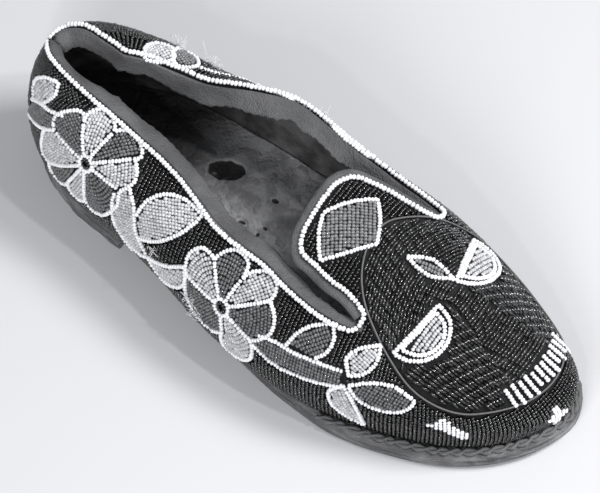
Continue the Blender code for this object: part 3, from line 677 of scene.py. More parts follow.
FACING_SECTIONS = (
    {0: [(0.4, 0.4), (1.6, 1.6), (1.6, 5), (-2, 8.4)], 35: [(0.4, 0.4), (2.2, 1.6), (4.2, 3.4), (5.8, 6.4)],
     150: [(0.4, 0.4), (2, 1.6), (3.8, 3.4), (5.2, 6)], 180: [(0.4, 0.4), (1.6, 1.4), (2.8, 2.6), (4, 4.4)],
     210: [(0.4, 0.4), (1.2, 1.4), (2, 2.6), (2.6, 4)]},
    {0: [(0.6, 1.2), (1.6, 2.6), (1.6, 5.5), (-2, 8.4)], 35: [(0.5, 1.4), (1.3, 3.6), (1.9, 7.2), (2.6, 11)],
     160: [(0.4, 1.8), (0.9, 3.8), (1.4, 7), (2, 9.8)], 210: [(0.4, 1.4), (0.9, 3), (1.2, 5), (1.6, 7)]},
)


def skin_upward(s, v):
    """The unit vector up the skin, across the topline."""
    up = skin(s, v) - skin(s, v - 0.02)
    return up / np.linalg.norm(up, axis=-1, keepdims=True)


def facing_sheet(side):
    """The strip as a grid: each section is a curve through four points (past the edge, under the skin), and
    its last stretch is longer or shorter by a ragged amount."""
    s = quarter_s(side, 260)
    v = topline_v(s)
    distance = s if side == 0 else GIRTH - s
    stops = sorted(FACING_SECTIONS[side])
    flat = np.array([FACING_SECTIONS[side][stop] for stop in stops], float).reshape(len(stops), -1)
    section = np.stack([np.interp(distance, stops, column) for column in flat.T], 1).reshape(-1, 4, 2)
    rng = np.random.default_rng(5 + side)
    coarse = np.interp(s, np.linspace(s[0], s[-1], 34), rng.uniform(-0.9, 1.0, 34))
    ragged = coarse + 0.25 * np.sin(s * 1.7) + rng.uniform(-0.12, 0.12, len(s))
    t = np.linspace(0, 1, 13)[None, :, None]
    a, b, c, d = (section[:, k, None] for k in range(4))
    first = a + (b - a) * np.clip(t * 3, 0, 1)
    curve = first + (c - b) * np.clip(t * 3 - 1, 0, 1) + (d - c) * np.clip(t * 3 - 2, 0, 1)
    end = (d - c) / np.linalg.norm(d - c, axis=-1, keepdims=True)
    curve = curve + end * (ragged[:, None] * t[..., 0] ** 4)[..., None]
    grid = (skin(s, v)[:, None] + skin_upward(s, v)[:, None] * curve[..., :1]
            - skin_normal(s, v)[:, None] * curve[..., 1:])
    return crumple(grid, 0.5, 21 + side)


FACING_THICK = 1.2
facing_hide = hide_finish("facing_hide", 0.07, 0.125, 0.7, 420)
for side, word in enumerate(SIDES):
    piece = build_mesh(f"facing_{word}", facing_hide, [facing_sheet(side)], recalculate=False)
    thicken(piece, FACING_THICK, 1)
    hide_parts(f"collar_facing_{word}")

# --- Tongue binding ---------------------------------------------------------------------------------------
# A narrow strip of the same hide is folded over the tongue's edge, outside its beads, and whipped down.

SLIT_END_X = 179.5
BINDING_DEPTH = 1.5
BINDING_HALF_WIDE = 2.1
BINDING_HALF_HIGH = 1.45


def tongue_line(outwards):
    """The tongue's free edge from above, from the lateral seam round the front to the medial one, moved
    outwards: the side edges joined by a straight front with round corners."""
    x = np.linspace(SLIT_END_X, TONGUE_FRONT_X + 1.2, 50)
    lateral = np.stack([x, tongue_edge[0](x)], 1)
    medial = np.stack([x, tongue_edge[1](x)], 1)[::-1]
    front_y = np.linspace(-12, 11, 14)
    path = np.concatenate([lateral, np.stack([TONGUE_FRONT_X + 0 * front_y, front_y], 1), medial])
    run = np.concatenate([[0], np.cumsum(np.linalg.norm(np.diff(path, axis=0), axis=1))])
    stops = np.linspace(0, run[-1], 160)
    path = np.stack([np.interp(stops, run, path[:, 0]), np.interp(stops, run, path[:, 1])], 1)
    smooth = path.copy()
    for _ in range(6):
        smooth[1:-1] = (smooth[:-2] + smooth[1:-1] * 2 + smooth[2:]) / 4
    along = np.gradient(smooth, axis=0)
    normal = np.stack([along[:, 1], -along[:, 0]], 1) / np.linalg.norm(along, axis=1, keepdims=True)
    return smooth + normal * -outwards


def carried(path, up, wide, high, sides=14):
    """An oval carried along a path: half widths across and along up, in a frame square to the path."""
    ahead = np.gradient(path, axis=0)
    ahead /= np.linalg.norm(ahead, axis=1, keepdims=True)
    across = np.cross(ahead, up)
    across /= np.linalg.norm(across, axis=1, keepdims=True)
    lift = np.cross(across, ahead)
    turn = np.linspace(0, 2 * np.pi, sides, endpoint=False)[:, None, None]
    wide, high = np.reshape(wide, (1, -1, 1)), np.reshape(high, (1, -1, 1))
    return path + across * np.cos(turn) * wide + lift * np.sin(turn) * high


binding_plan = tongue_line(2.0)
binding_plan[0] += (binding_plan[0] - binding_plan[4]) * 0.6
binding_plan[-1] += (binding_plan[-1] - binding_plan[-5]) * 0.6
binding_s, binding_v = on_top(binding_plan[:, 0], binding_plan[:, 1])
binding_path = under_skin(binding_s, binding_v, BINDING_DEPTH)
binding_up = skin_normal(binding_s, binding_v)
binding = build_mesh("tongue_binding_strip", facing_hide,
                     [carried(binding_path, binding_up, BINDING_HALF_WIDE, BINDING_HALF_HIGH)],
                     closed_rows=True, caps=True)
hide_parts("tongue_binding")

# --- Bead rows --------------------------------------------------------------------------------------------
# Glass seed beads are threaded a few at a time and couched down in rows. Each bead is a short barrel with a
# dimple at each end where the thread goes in, and none is quite like its neighbour.

BEAD_ROWS = {}
BEAD_DEPTH = 0.9
BLACK_BEAD = {"radius": 0.92, "length": 1.4, "sides": 6, "rings": 3, "taper": 0.4}
WHITE_BEAD = {"radius": 1.03, "length": 1.45, "sides": 8, "rings": 4, "taper": 0.42}
EDGE_BEAD = {"radius": 1.15, "length": 1.6, "sides": 8, "rings": 4, "taper": 0.42}
STAR_BEAD = {"radius": 0.85, "length": 1.3, "sides": 8, "rings": 4, "taper": 0.42}
FILL_BEAD = {"radius": 0.94, "length": 1.4, "sides": 7, "rings": 4, "taper": 0.42}
BUGLE_BEAD = {"radius": 0.68, "length": 4.3, "sides": 6, "rings": 3, "taper": 0.1}


def arc_up_table():
    """For each s, v as a function of h, the distance up the skin from the feather edge."""
    s = np.linspace(0, GIRTH, 420)
    w = np.linspace(0, 2, 300)
    v = eased(w)
    points = skin(s[:, None], v[None, :])
    run = np.cumsum(np.linalg.norm(np.diff(points, axis=1), axis=2), axis=1)
    run = np.concatenate([np.zeros((len(s), 1)), run], 1)
    h = np.linspace(0, 110, 260)
    return s, w, run, h, np.stack([np.interp(h, row, v) for row in run])


TABLE_S, TABLE_W, TABLE_RUN, TABLE_H, V_OF_H = arc_up_table()


def from_table(table, s, other, other_axis):
    """Bilinear reading of a table over s and one more axis."""
    a = (s % GIRTH) / GIRTH * (len(TABLE_S) - 1)
    b = np.clip(other / other_axis[-1], 0, 1) * (len(other_axis) - 1)
    i, j = np.minimum(a.astype(int), len(TABLE_S) - 2), np.minimum(b.astype(int), len(other_axis) - 2)
    a, b = a - i, b - j
    return ((table[i, j] * (1 - a) + table[i + 1, j] * a) * (1 - b)
            + (table[i, j + 1] * (1 - a) + table[i + 1, j + 1] * a) * b)


def up_side(s, h):
    """The place at s, a distance h up the skin from the feather edge."""
    s, h = np.broadcast_arrays(np.asarray(s, float), np.asarray(h, float))
    return s, from_table(V_OF_H, s, h, TABLE_H)


def height_up(s, v):
    """The inverse of up_side: the distance up the skin from the feather edge to a place."""
    return from_table(TABLE_RUN, s, uneased(v), TABLE_W)


def as_place(s, v):
    """The chart whose points already are places."""
    return s, v


def spaced(chart, a, b, pitch, start=0.5):
    """Chart places a pitch apart on the skin along a dense line of chart places."""
    points = skin(*chart(a, b))
    run = np.concatenate([[0], np.cumsum(np.linalg.norm(np.diff(points, axis=0), axis=1))])
    stops = np.arange(pitch * start, run[-1], pitch)
    return np.interp(stops, run, a), np.interp(stops, run, b)


def lay_row(kind, s, v, depth=BEAD_DEPTH, keep=None):
    """Adds a row of beads of a kind: each lies along its row, its middle a depth under the skin."""
    if len(s) < 2:
        return
    middle = under_skin(s, v, depth)
    row = np.concatenate([middle, np.gradient(middle, axis=0), skin_normal(s, v)], 1)
    BEAD_ROWS.setdefault(kind, []).append(row if keep is None else row[keep])


def string_along(kind, chart, line, pitch, depth=0.75, start=0.5):
    """Couches a string of beads along a line of chart places."""
    dense = smooth_line(line, 8, closed=False) if len(line) < 12 else np.asarray(line, float)
    lay_row(kind, *chart(*spaced(chart, dense[:, 0], dense[:, 1], pitch, start)), depth)


def inside(outline, a, b):
    """True where a ray to the right crosses the closed outline an odd number of times."""
    a, b = np.asarray(a)[..., None], np.asarray(b)[..., None]
    x0, y0 = outline[:-1].T
    x1, y1 = outline[1:].T
    spans = (y0 > b) != (y1 > b)
    crossing = x0 + (b - y0) * (x1 - x0) / np.where(y1 == y0, 1e-9, y1 - y0)
    return (np.sum(spans & (a < crossing), -1) % 2) == 1


def away_from(line, a, b):
    """Distance to the nearest point of a line of straight pieces."""
    p = np.stack([np.asarray(a, float), np.asarray(b, float)], -1)[..., None, :]
    start, step = line[:-1], np.diff(line, axis=0)
    t = np.clip(((p - start) * step).sum(-1) / np.maximum((step**2).sum(-1), 1e-9), 0, 1)
    return np.linalg.norm(p - start - t[..., None] * step, axis=-1).min(-1)


def bead_mesh(name, finish, rows, bead, seed):
    """All beads of one kind as one mesh. A bead's rings have radius times 1 - taper |t|^3, t from -1 to 1
    along it, and its two end points are sunk for the thread's hole."""
    rng = np.random.default_rng(seed)
    middle, along, normal = rows[:, :3], rows[:, 3:6], rows[:, 6:]
    count = len(rows)
    size = 1 + rng.normal(0, 0.04, (count, 1))
    along = along / np.linalg.norm(along, axis=1, keepdims=True) + rng.normal(0, 0.09, (count, 3))
    along /= np.linalg.norm(along, axis=1, keepdims=True)
    across = np.cross(along, normal)
    across /= np.linalg.norm(across, axis=1, keepdims=True)
    up = np.cross(across, along)
    middle = middle + rng.normal(0, 0.08, (count, 3))
    sides, rings = bead["sides"], bead["rings"]
    t = np.linspace(-1, 1, rings)
    reach = bead["radius"] * (1 - bead["taper"] * abs(t) ** 3)
    turn = np.linspace(0, 2 * np.pi, sides, endpoint=False)
    ring_along = np.repeat(t * bead["length"] / 2, sides)
    ring_across = (reach[:, None] * np.cos(turn)).reshape(-1)
    ring_up = (reach[:, None] * np.sin(turn)).reshape(-1)
    hole = bead["length"] / 2 - 0.2 * bead["radius"]
    local = np.stack([np.append(ring_along, [-hole, hole]), np.append(ring_across, [0, 0]),
                      np.append(ring_up, [0, 0])], 1)
    axes = np.stack([along, across, up], 1)
    points = middle[:, None] + (local @ axes) * size[:, None]
    at = np.arange(rings * sides).reshape(rings, sides)
    around = np.roll(at, -1, 1)
    quads = np.stack([at[:-1], around[:-1], around[1:], at[1:]], -1).reshape(-1, 4)
    first = np.stack([around[0], at[0], np.full(sides, rings * sides)], -1)
    last = np.stack([at[-1], around[-1], np.full(sides, rings * sides + 1)], -1)
    step = (np.arange(count) * len(local))[:, None, None]
    faces = (quads + step).reshape(-1, 4).tolist()
    faces += (np.concatenate([first, last]) + step).reshape(-1, 3).tolist()
    mesh = bpy.data.meshes.new(name)
    mesh.from_pydata(((points.reshape(-1, 3) - CENTRE) * MM).tolist(), [], faces)
    tone = mesh.attributes.new("tone", "FLOAT", "POINT")
    tone.data.foreach_set("value", np.repeat(rng.random(count), len(local)).astype(np.float32))
    mesh.shade_smooth()
    mesh.materials.append(finish)
    piece = bpy.data.objects.new(name, mesh)
    bpy.context.scene.collection.objects.link(piece)
    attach(piece, "root")
    return piece


# --- Topline and tongue edge beads ------------------------------------------------------------------------
# One string of larger white beads is couched along the edge of the opening: up one quarter, round the end of
# each slit and along the tongue, and down the other quarter.

EDGE_PITCH = 1.68
EDGE_SET_BACK = 0.9
EDGE_DEPTH = -0.1


def topline_row(side, set_back):
    """Places along a quarter's topline, a distance down the skin from it, from the back to the slit's end."""
    s = quarter_s(side, 220)
    s = s[rim(s)[:, 0] < SLIT_END_X]
    v = topline_v(s)
    per_v = np.linalg.norm(skin(s, v) - skin(s, v - 0.02), axis=1) / 0.02
    order = slice(None) if side == 0 else slice(None, None, -1)
    return s[order], (v - set_back / per_v)[order]


def slit_end(start, end, bulge):
    """A half turn from start to end: a semicircle over the line between them, reaching forwards by bulge."""
    turn = np.linspace(0, np.pi, 15)[1:-1, None]
    middle, half = (start + end) / 2, (end - start) / 2
    return middle - half * np.cos(turn) + np.array([bulge, 0]) * np.sin(turn)


def plan_edge(set_back, bulge):
    """The edge of the opening from above in three lines: lateral quarter, tongue with slit ends, medial."""
    lateral, medial = (skin(*topline_row(side, set_back))[:, :2] for side in (0, 1))
    tongue = tongue_line(-set_back)
    tongue = np.concatenate([lateral[-1:], slit_end(lateral[-1], tongue[0], bulge), tongue,
                             slit_end(tongue[-1], medial[-1], bulge), medial[-1:]])
    return lateral, tongue, medial


lateral_edge, tongue_part, medial_edge = plan_edge(0.0, 2.0)
OPENING = np.concatenate([lateral_edge, tongue_part, medial_edge[::-1], lateral_edge[:1]])
for side in (0, 1):
    row_s, row_v = topline_row(side, EDGE_SET_BACK)
    lay_row("white_edge", *spaced(as_place, row_s, row_v, EDGE_PITCH), EDGE_DEPTH)
string_along("white_edge", on_top, plan_edge(EDGE_SET_BACK, 3.2)[1], EDGE_PITCH, EDGE_DEPTH)
edge_points = np.concatenate(BEAD_ROWS["white_edge"])[:, :3]

# --- Beaded motifs ----------------------------------------------------------------------------------------
# Flowers, buds and leaves are outlined in white and filled with rows of light, middle or dark beads. The
# side ones are drawn on (s, height up the skin), and those on top of the foot from above.

TAKEN = []
WHITE_PITCH = 1.52
FILL_PITCH = 1.42
FILL_SPACING = 1.72
FILL_MARGIN = 1.3
MOTIF_CLEARANCE = 1.7
MASK_CLEARANCE = 1.2


def fill_rows(kind, chart, outline, way):
    """Rows of beads along way, kept where they are inside the outline by a margin."""
    way = np.array(way, float) / np.linalg.norm(way)
    square = np.array([-way[1], way[0]])
    middle = outline.mean(0)
    reach = np.linalg.norm(outline - middle, axis=1).max()
    t = np.linspace(-reach, reach, 160)
    for offset in np.arange(-reach, reach, FILL_SPACING) + FILL_SPACING / 2:
        line = middle + square * offset + way * t[:, None]
        a, b = spaced(chart, line[:, 0], line[:, 1], FILL_PITCH)
        keep = inside(outline, a, b) & (away_from(outline, a, b) > FILL_MARGIN)
        lay_row(kind, *chart(a, b), BEAD_DEPTH, keep)


def sewn_motif(chart, shade, way, *sides, plain=()):
    """A motif whose outline is made of smooth sides that meet in corners: white beads along each side that
    isn't plain, and a fill in rows along way."""
    smooth = [smooth_line(side, 10, closed=False) for side in sides]
    outline = np.concatenate([side[:-1] for side in smooth] + [smooth[0][:1]])
    outline = np.concatenate([outline, smooth[0][:1]])
    for number, side in enumerate(smooth):
        if number not in plain:
            string_along(WHITE_OF[chart], chart, side, WHITE_PITCH)
    fill_rows(shade, chart, outline, way)
    TAKEN.append((chart, outline, MOTIF_CLEARANCE))


def sewn_flower(centre, petals):
    """A flower: a black heart in a white ring, and petals between white spokes. Each petal is (shade, notch
    where it begins, points round its end), and it is filled with arcs about the heart."""
    centre = np.array(centre, float)
    notches = [np.array(petal[1], float) for petal in petals]
    outlines = []
    for number, (shade, notch, points) in enumerate(petals):
        following = notches[(number + 1) % len(petals)]
        end = smooth_line([notch, *points, following], 10)[: (len(points) + 1) * 10 + 1]
        string_along("white_side", up_side, end, WHITE_PITCH)
        spoke = centre + (notches[number] - centre) * np.linspace(
            HEART_RING / np.linalg.norm(notches[number] - centre), 0.97, 20)[:, None]
        string_along("white_side", up_side, spoke, WHITE_PITCH, start=0.8)
        outline = np.concatenate([centre[None], end, centre[None]])
        outlines.append((shade, outline))
        TAKEN.append((up_side, outline, MOTIF_CLEARANCE))
    turn = np.linspace(0, 2 * np.pi, 200)
    circle = np.stack([np.cos(turn), np.sin(turn)], 1)
    string_along("white_side", up_side, centre + circle * HEART_RING, WHITE_PITCH)
    string_along("black_hearts", up_side, centre + circle * (HEART_RING - 1.75), 1.5)
    string_along("black_hearts", up_side, centre + circle[:30] * 0.2, 0.1, 2)
    for radius in np.arange(HEART_RING + FILL_SPACING, 32, FILL_SPACING):
        ring = centre + circle * radius
        a, b = spaced(up_side, ring[:, 0], ring[:, 1], FILL_PITCH)
        for shade, outline in outlines:
            keep = inside(outline, a, b) & (away_from(outline, a, b) > FILL_MARGIN)
            lay_row(shade, *up_side(a, b), BEAD_DEPTH, keep)


WHITE_OF = {up_side: "white_side", on_top: "white_top"}
HEART_RING = 3.6
sewn_flower((64, 38), [
    ("dark_fill", (42, 41), [(39, 47), (41, 53), (45, 57), (50, 57)]),
    ("light_fill", (53, 54), [(51, 59), (54, 62.5), (61, 63.5), (68, 62)]),
    ("dark_fill", (71, 58), [(75, 61), (80, 61), (84, 59), (86, 56)]),
    ("light_fill", (84, 53), [(87, 50), (88, 46), (86, 41)]),
    ("dark_fill", (83, 37), [(84, 31), (81, 24), (76, 17), (70, 14)]),
    ("light_fill", (66, 17), [(61, 12), (57, 12)]),
    ("dark_fill", (55, 18), [(47, 10), (42, 11)]),
    ("light_fill", (42, 18), [(37, 18), (36, 27), (37, 36)]),
])
sewn_flower((148, 34), [
    ("light_fill", (127, 33), [(125, 37), (126, 44), (131, 49)]),
    ("dark_fill", (137, 49), [(140, 55), (145, 59), (151, 58)]),
    ("light_fill", (152, 51), [(156, 57), (162, 60), (167, 57)]),
    ("dark_fill", (167, 50), [(172, 45), (173, 38), (170, 33)]),
    ("light_fill", (165, 29), [(167, 20), (162, 12), (154, 8)]),
    ("dark_fill", (151, 22), [(145, 17), (137, 17), (129, 24)]),
])
SIDE_MOTIFS = [
    ("light", (0, 1), (), [(23, 41), (18, 48), (21, 57), (26, 62)],
     [(26, 62), (31, 56), (30, 48), (23, 41)]),
    ("dark", (2, 1), (1, 3), [(21, 38), (25, 43), (30, 46), (36, 48), (42, 51)], [(42, 51), (42, 41)],
     [(42, 41), (31, 32), (24, 27), (16, 21)], [(16, 21), (21, 38)]),
    ("light", (1, -2), (1, 3), [(81, 35), (82, 24), (86, 15), (94, 9)], [(94, 9), (103, 20)],
     [(103, 20), (96, 26), (92, 36), (87, 42)], [(87, 42), (81, 35)]),
    ("light", (-2, 3), (2,), [(94, 34), (98, 46), (106, 54), (113, 57), (123, 58)],
     [(123, 58), (120, 50), (114, 40), (106, 31), (98, 25)], [(98, 25), (94, 34)]),
    ("light", (2, 1), (), [(104, 19), (114, 25), (125, 35)],
     [(125, 35), (127, 29), (122, 20), (112, 14), (104, 19)]),
    ("dark", (1, 0.05), (1, 3), [(168, 34), (176, 35), (184, 34.5), (194, 35), (208, 36)],
     [(208, 36), (209, 28)], [(209, 28), (202, 26), (189, 23.5), (177, 23.5), (166, 28)],
     [(166, 28), (168, 34)]),
    ("dark", (1, 1), (2,), [(181, 36), (184, 44), (189, 50), (196, 54)],
     [(196, 54), (199, 47), (198, 41), (194, 36)], [(194, 36), (181, 36)]),
    ("light", (1, 2), (), [(210, 35), (207, 43), (211, 49), (219, 52)],
     [(219, 52), (220, 45), (216, 38), (210, 35)]),
    ("dark", (4, -1), (), [(211, 30), (219, 34), (231, 35), (241, 30)],
     [(241, 30), (236, 24), (227, 21.5), (217, 23.5), (211, 30)]),
    ("light", (1, -2), (), [(209, 29), (204, 23), (206, 14), (212, 9), (220, 6)],
     [(220, 6), (217, 16), (213, 24), (209, 29)]),
    ("light", (-2, 1), (), [(557, 68), (551, 60), (544, 57)],
     [(544, 57), (539, 64), (544, 71), (552, 72), (557, 68)]),
    ("middle", (-1, 0.5), (), [(542, 60), (542, 50), (535, 50)],
     [(535, 50), (530, 60), (536, 66), (542, 60)]),
    ("light", (-2, 1), (), [(508, 50), (500, 62), (487, 66)],
     [(487, 66), (486, 55), (495, 46), (508, 50)]),
    ("dark", (-2, 1), (), [(474, 56), (463, 62), (447, 60)],
     [(447, 60), (450, 48), (462, 44), (474, 56)]),
]
for shade, way, plain, *sides in SIDE_MOTIFS:
    sewn_motif(up_side, shade + "_fill", way, *sides, plain=plain)
for line in ([(530, 60), (520, 56), (508, 50)], [(487, 62), (480, 58), (474, 56)],
             [(86, 15), (96, 13), (104, 19)]):
    string_along("white_side", up_side, line, WHITE_PITCH)
sewn_motif(on_top, "middle_fill", (-10, 16), [(146, -2), (152, 8), (160, 17.5)],
           [(160, 17.5), (166, 10), (171, 0)], [(171, 0), (163, -10), (155, -18)],
           [(155, -18), (149, -10), (146, -2)])

# --- The mask on the vamp ---------------------------------------------------------------------------------
# A stylised mask in lustrous bugle beads: rows across the forehead, along the cheeks, and across the nose and
# the muzzle, with half-moon eyes, a lozenge on the brow, and a row of short white bars for the mouth.

MASK = smooth_line([(168, 0), (169, 11), (174, 19), (180, 26), (190, 34), (200, 39.5), (211, 39), (224, 35.5),
                    (237, 31), (247, 25.5), (253, 14), (254, 4), (252, -5), (248, -13), (241, -22),
                    (233, -29), (222, -34), (210, -35.5), (200, -33.5), (188, -28.5), (179, -22), (172, -13)])
BUGLE_PITCH = 4.5
BUGLE_SPACING = 1.4
BUGLE_DEPTH = 1.15
MOUTH_BARS = 12


def eye_outline(straight, curved):
    """A half-moon: a straight side and a curved one that meet in two corners."""
    sides = [smooth_line(side, 10, closed=False) for side in (straight, curved)]
    return np.concatenate([sides[0], sides[1][1:]])


eyes = [eye_outline([(199, -31), (202, -19), (204, -5)],
                    [(204, -5), (210, -6.5), (214.5, -14), (212.5, -23), (206, -29), (199, -31)]),
        eye_outline([(197, 34.5), (201, 20), (204, 8.5)],
                    [(204, 8.5), (210, 13.5), (213.5, 22), (211.5, 31), (204, 36.5), (197, 34.5)])]
lozenge = eye_outline([(183, 3.5), (192, 9.5), (203, 8.5)], [(203, 8.5), (194, 2.5), (183, 3.5)])
mouth_zone = smooth_line([(240.5, -15), (244, -6), (245.5, 7), (244, 18), (241.5, 26), (250, 26), (255.5, 14),
                          (256, 6), (254, -4), (249, -15)])
y_across = np.linspace(-42, 46, 220)
cheek_x = np.linspace(196, 252, 160)


def bugle_row(x, y, start, keep):
    """A row of bugle beads from above, kept by a test, inside the mask and clear of eyes, brow and mouth."""
    a, b = spaced(on_top, x, y, BUGLE_PITCH, start)
    kept = keep(a, b) & inside(MASK, a, b) & (away_from(MASK, a, b) > MASK_CLEARANCE)
    for hole, clear in ((eyes[0], MOTIF_CLEARANCE), (eyes[1], MOTIF_CLEARANCE), (lozenge, MOTIF_CLEARANCE),
                        (mouth_zone, 0.3)):
        kept &= ~inside(hole, a, b) & (away_from(hole, a, b) > clear)
    lay_row("bugle_mask", *on_top(a, b), BUGLE_DEPTH, kept)


def on_muzzle(x, y):
    """The nose and muzzle are a block of rows across the foot, wider towards the mouth."""
    return (x > 207) & (abs(y - 4) < 5.5 + 0.2 * (x - 207))


for brow in np.arange(150, 210, BUGLE_SPACING):
    bow = brow + 0.009 * (y_across - 3) ** 2
    bugle_row(bow, y_across, brow * 0.7 % 1, lambda x, y: x < 205)
for cheek in np.arange(-38, 44, BUGLE_SPACING):
    narrowing = 1 - 0.22 * ((cheek_x - 196) / 54) ** 2
    bugle_row(cheek_x, 3 + (cheek - 3) * narrowing, cheek * 3.7 % 1,
              lambda x, y: (x > 205.5) & ~on_muzzle(x, y))
for nose in np.arange(207.5, 246, BUGLE_SPACING):
    bow = nose - 0.006 * (y_across - 4) ** 2
    bugle_row(bow, y_across, nose * 0.7 % 1, on_muzzle)
for chin in np.arange(246, 258, BUGLE_SPACING):
    bugle_row(chin - 0.012 * (y_across - 6) ** 2, y_across, chin * 0.7 % 1, lambda x, y: x > 246)
bar_y = np.linspace(-12.8, 24, MOUTH_BARS)
bar_x = 249.6 - 0.0125 * (bar_y - 7.5) ** 2
for number, (x, y) in enumerate(zip(bar_x, bar_y)):
    reach = (3.3, 3.9, 3.5, 4.1)[number % 4]
    line = np.linspace(-reach, reach, 30)
    fan = 0.012 * (y - 5)
    string_along("white_mouth", on_top, np.stack([x + line, y + line * fan], 1), 1.5)
for eye in eyes:
    middle = eye.mean(0)
    inner = middle + (eye - middle) * 0.76
    for ring in (eye, inner):
        string_along("white_top", on_top, ring, WHITE_PITCH)
    fill_rows("light_fill", on_top, inner, (0.1, 1))
string_along("white_top", on_top, lozenge, WHITE_PITCH)
fill_rows("middle_fill", on_top, lozenge, (1, 0.3))
TAKEN.append((on_top, MASK, MASK_CLEARANCE))

# --- Black ground -----------------------------------------------------------------------------------------
# Glossy black beads fill all that is left, in columns that climb from the welt to the topline and meet over
# the foot in front of the tongue. Where columns crowd together every second one stops.

COLUMN_STEP = 1.78
GROUND_PITCH = 1.46
GROUND_DEPTH = 0.95
STAR_DEPTH = 0.6
EDGE_CLEARANCE = 1.85
CROWDED = 0.62
STARS = [smooth_line(star, 6, closed=False) for star in (
    [(245, 19.5), (250, 21.5), (254, 24), (258, 20), (264, 14), (263, 11.5), (254, 17), (245, 19.5)],
    [(296, 11), (300, 12.5), (303, 18), (305.5, 12), (309, 10), (305, 8), (302.5, 2.5), (300.5, 8.5),
     (296, 11)])]


def free_places(s, v):
    """True where no motif, edge bead or opening is within a bead's reach of the place."""
    points = skin(s, v)
    h = height_up(s, v)
    on_vault = v > 1
    free = ~(on_vault & inside(OPENING, points[:, 0], points[:, 1]))
    free &= np.linalg.norm(points[:, None] - edge_points[None], axis=2).min(1) > EDGE_CLEARANCE
    for chart, outline, clear in TAKEN:
        a, b = (s, h) if chart is up_side else (points[:, 0], points[:, 1])
        near = (a > outline[:, 0].min() - 3) & (a < outline[:, 0].max() + 3)
        near &= (b > outline[:, 1].min() - 3) & (b < outline[:, 1].max() + 3)
        if chart is on_top:
            near &= on_vault
        if near.any():
            hit = inside(outline, a[near], b[near]) | (away_from(outline, a[near], b[near]) < clear)
            free[near] &= ~hit
    return free


def ground_column(kind, s, odd):
    """One column down the skin from the spine to the feather edge, with a stepped star's beads in white."""
    fine_v = eased(np.linspace(2, 0.03, 260))
    fine_s = np.full(260, s % GIRTH)
    crowd = np.linalg.norm(skin(fine_s + 1, fine_v) - skin(fine_s - 1, fine_v), axis=1) / 2
    s, v = spaced(as_place, fine_s, fine_v, GROUND_PITCH)
    keep = free_places(s, v)
    if odd:
        keep &= np.interp(-v, -fine_v, crowd) > CROWDED
    star = np.zeros(len(s), bool)
    for outline in STARS:
        star |= inside(outline, s, height_up(s, v))
    lay_row(kind, s, v, GROUND_DEPTH, keep & ~star)
    lay_row("white_stars", s, v, STAR_DEPTH, keep & star)


for x in np.arange(46, 190, COLUMN_STEP):
    part = "rear" if x < 100 else "waist" if x < 148 else "fore"
    for side, word in enumerate(SIDES):
        ground_column(f"black_{word}_{part}", rim_at_x(x, bool(side)), False)
for number, s in enumerate(np.arange(TOE_S[0] + 1, TOE_S[-1], COLUMN_STEP)):
    ground_column("black_toe_lateral" if s < TOE else "black_toe_medial", s, number % 2)
for number, s in enumerate(np.arange(HEEL_S[0] + 1, HEEL_S[-1], COLUMN_STEP)):
    ground_column("black_heel_lateral" if s > 0 else "black_heel_medial", s, number % 2)


def bead_finish(name, dark, light, roughness, coat):
    """Glass: two near tones picked by each bead's own number, glossy under a clear coat, a little uneven."""
    finish = Finish(name, Coat_Weight=coat, Coat_Roughness=0.06)
    tone = finish.attribute("tone")
    finish.feed("Base Color", finish.mix(tone, grey(dark), grey(light)))
    finish.feed("Roughness", finish.spread(tone, 0, 1, roughness, roughness + 0.12))
    return finish.bump(finish.noise(900, 2), 0.0001, 0.3)


BEAD_KINDS = {
    "black": (bead_finish("glass_black", 0.001, 0.006, 0.1, 0.8), BLACK_BEAD, "beads_black"),
    "white": (bead_finish("glass_white", 0.8, 0.93, 0.3, 0.4), WHITE_BEAD, "beads_white"),
    "light": (bead_finish("glass_light", 0.4, 0.62, 0.3, 0.4), FILL_BEAD, "beads_light_grey"),
    "middle": (bead_finish("glass_middle", 0.13, 0.22, 0.28, 0.4), FILL_BEAD, "beads_mid_grey"),
    "dark": (bead_finish("glass_dark", 0.08, 0.15, 0.25, 0.4), FILL_BEAD, "beads_dark_grey"),
    "bugle": (bead_finish("glass_bugle", 0.004, 0.03, 0.1, 0.6), BUGLE_BEAD, "beads_bugle"),
}
STANDS_FOR = {
    "black_lateral_waist": ["beadwork_quarter_lateral"], "black_medial_waist": ["beadwork_quarter_medial"],
    "black_toe_lateral": ["beadwork_vamp"],
    "white_edge": ["topline_beads_lateral", "topline_beads_medial", "tongue_edge_beads"],
}
for seed, (kind, rows) in enumerate(sorted(BEAD_ROWS.items())):
    finish, bead, slot = BEAD_KINDS[kind.split("_")[0]]
    bead = {"white_edge": EDGE_BEAD, "white_stars": STAR_BEAD}.get(kind, bead)
    piece = bead_mesh("beads_" + kind, finish, np.concatenate(rows), bead, 100 + seed)
    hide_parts(*STANDS_FOR.get(kind, []))

# --- Couched line and welt braid --------------------------------------------------------------------------
# A waxed line is couched round the mask. Where the upper meets the welt, thick waxed thread makes a braid
# whose stitches lie slantwise, one over the next.

COUCHED_DEPTH = 0.5
COUCHED_RADIUS = 0.4
BRAID_LAY = 11.0
BRAID_SWING = 0.95
BRAID_LIFT = 0.4
STRAND_RADIUS = 0.85
waxed = Finish("waxed_thread")
strand_noise = waxed.noise(1100, 4)
waxed.feed("Base Color", waxed.mix(strand_noise, grey(0.05), grey(0.17)))
waxed.feed("Roughness", waxed.spread(strand_noise, 0.3, 0.7, 0.5, 0.75))
waxed.bump(strand_noise, 0.0005, 0.8)

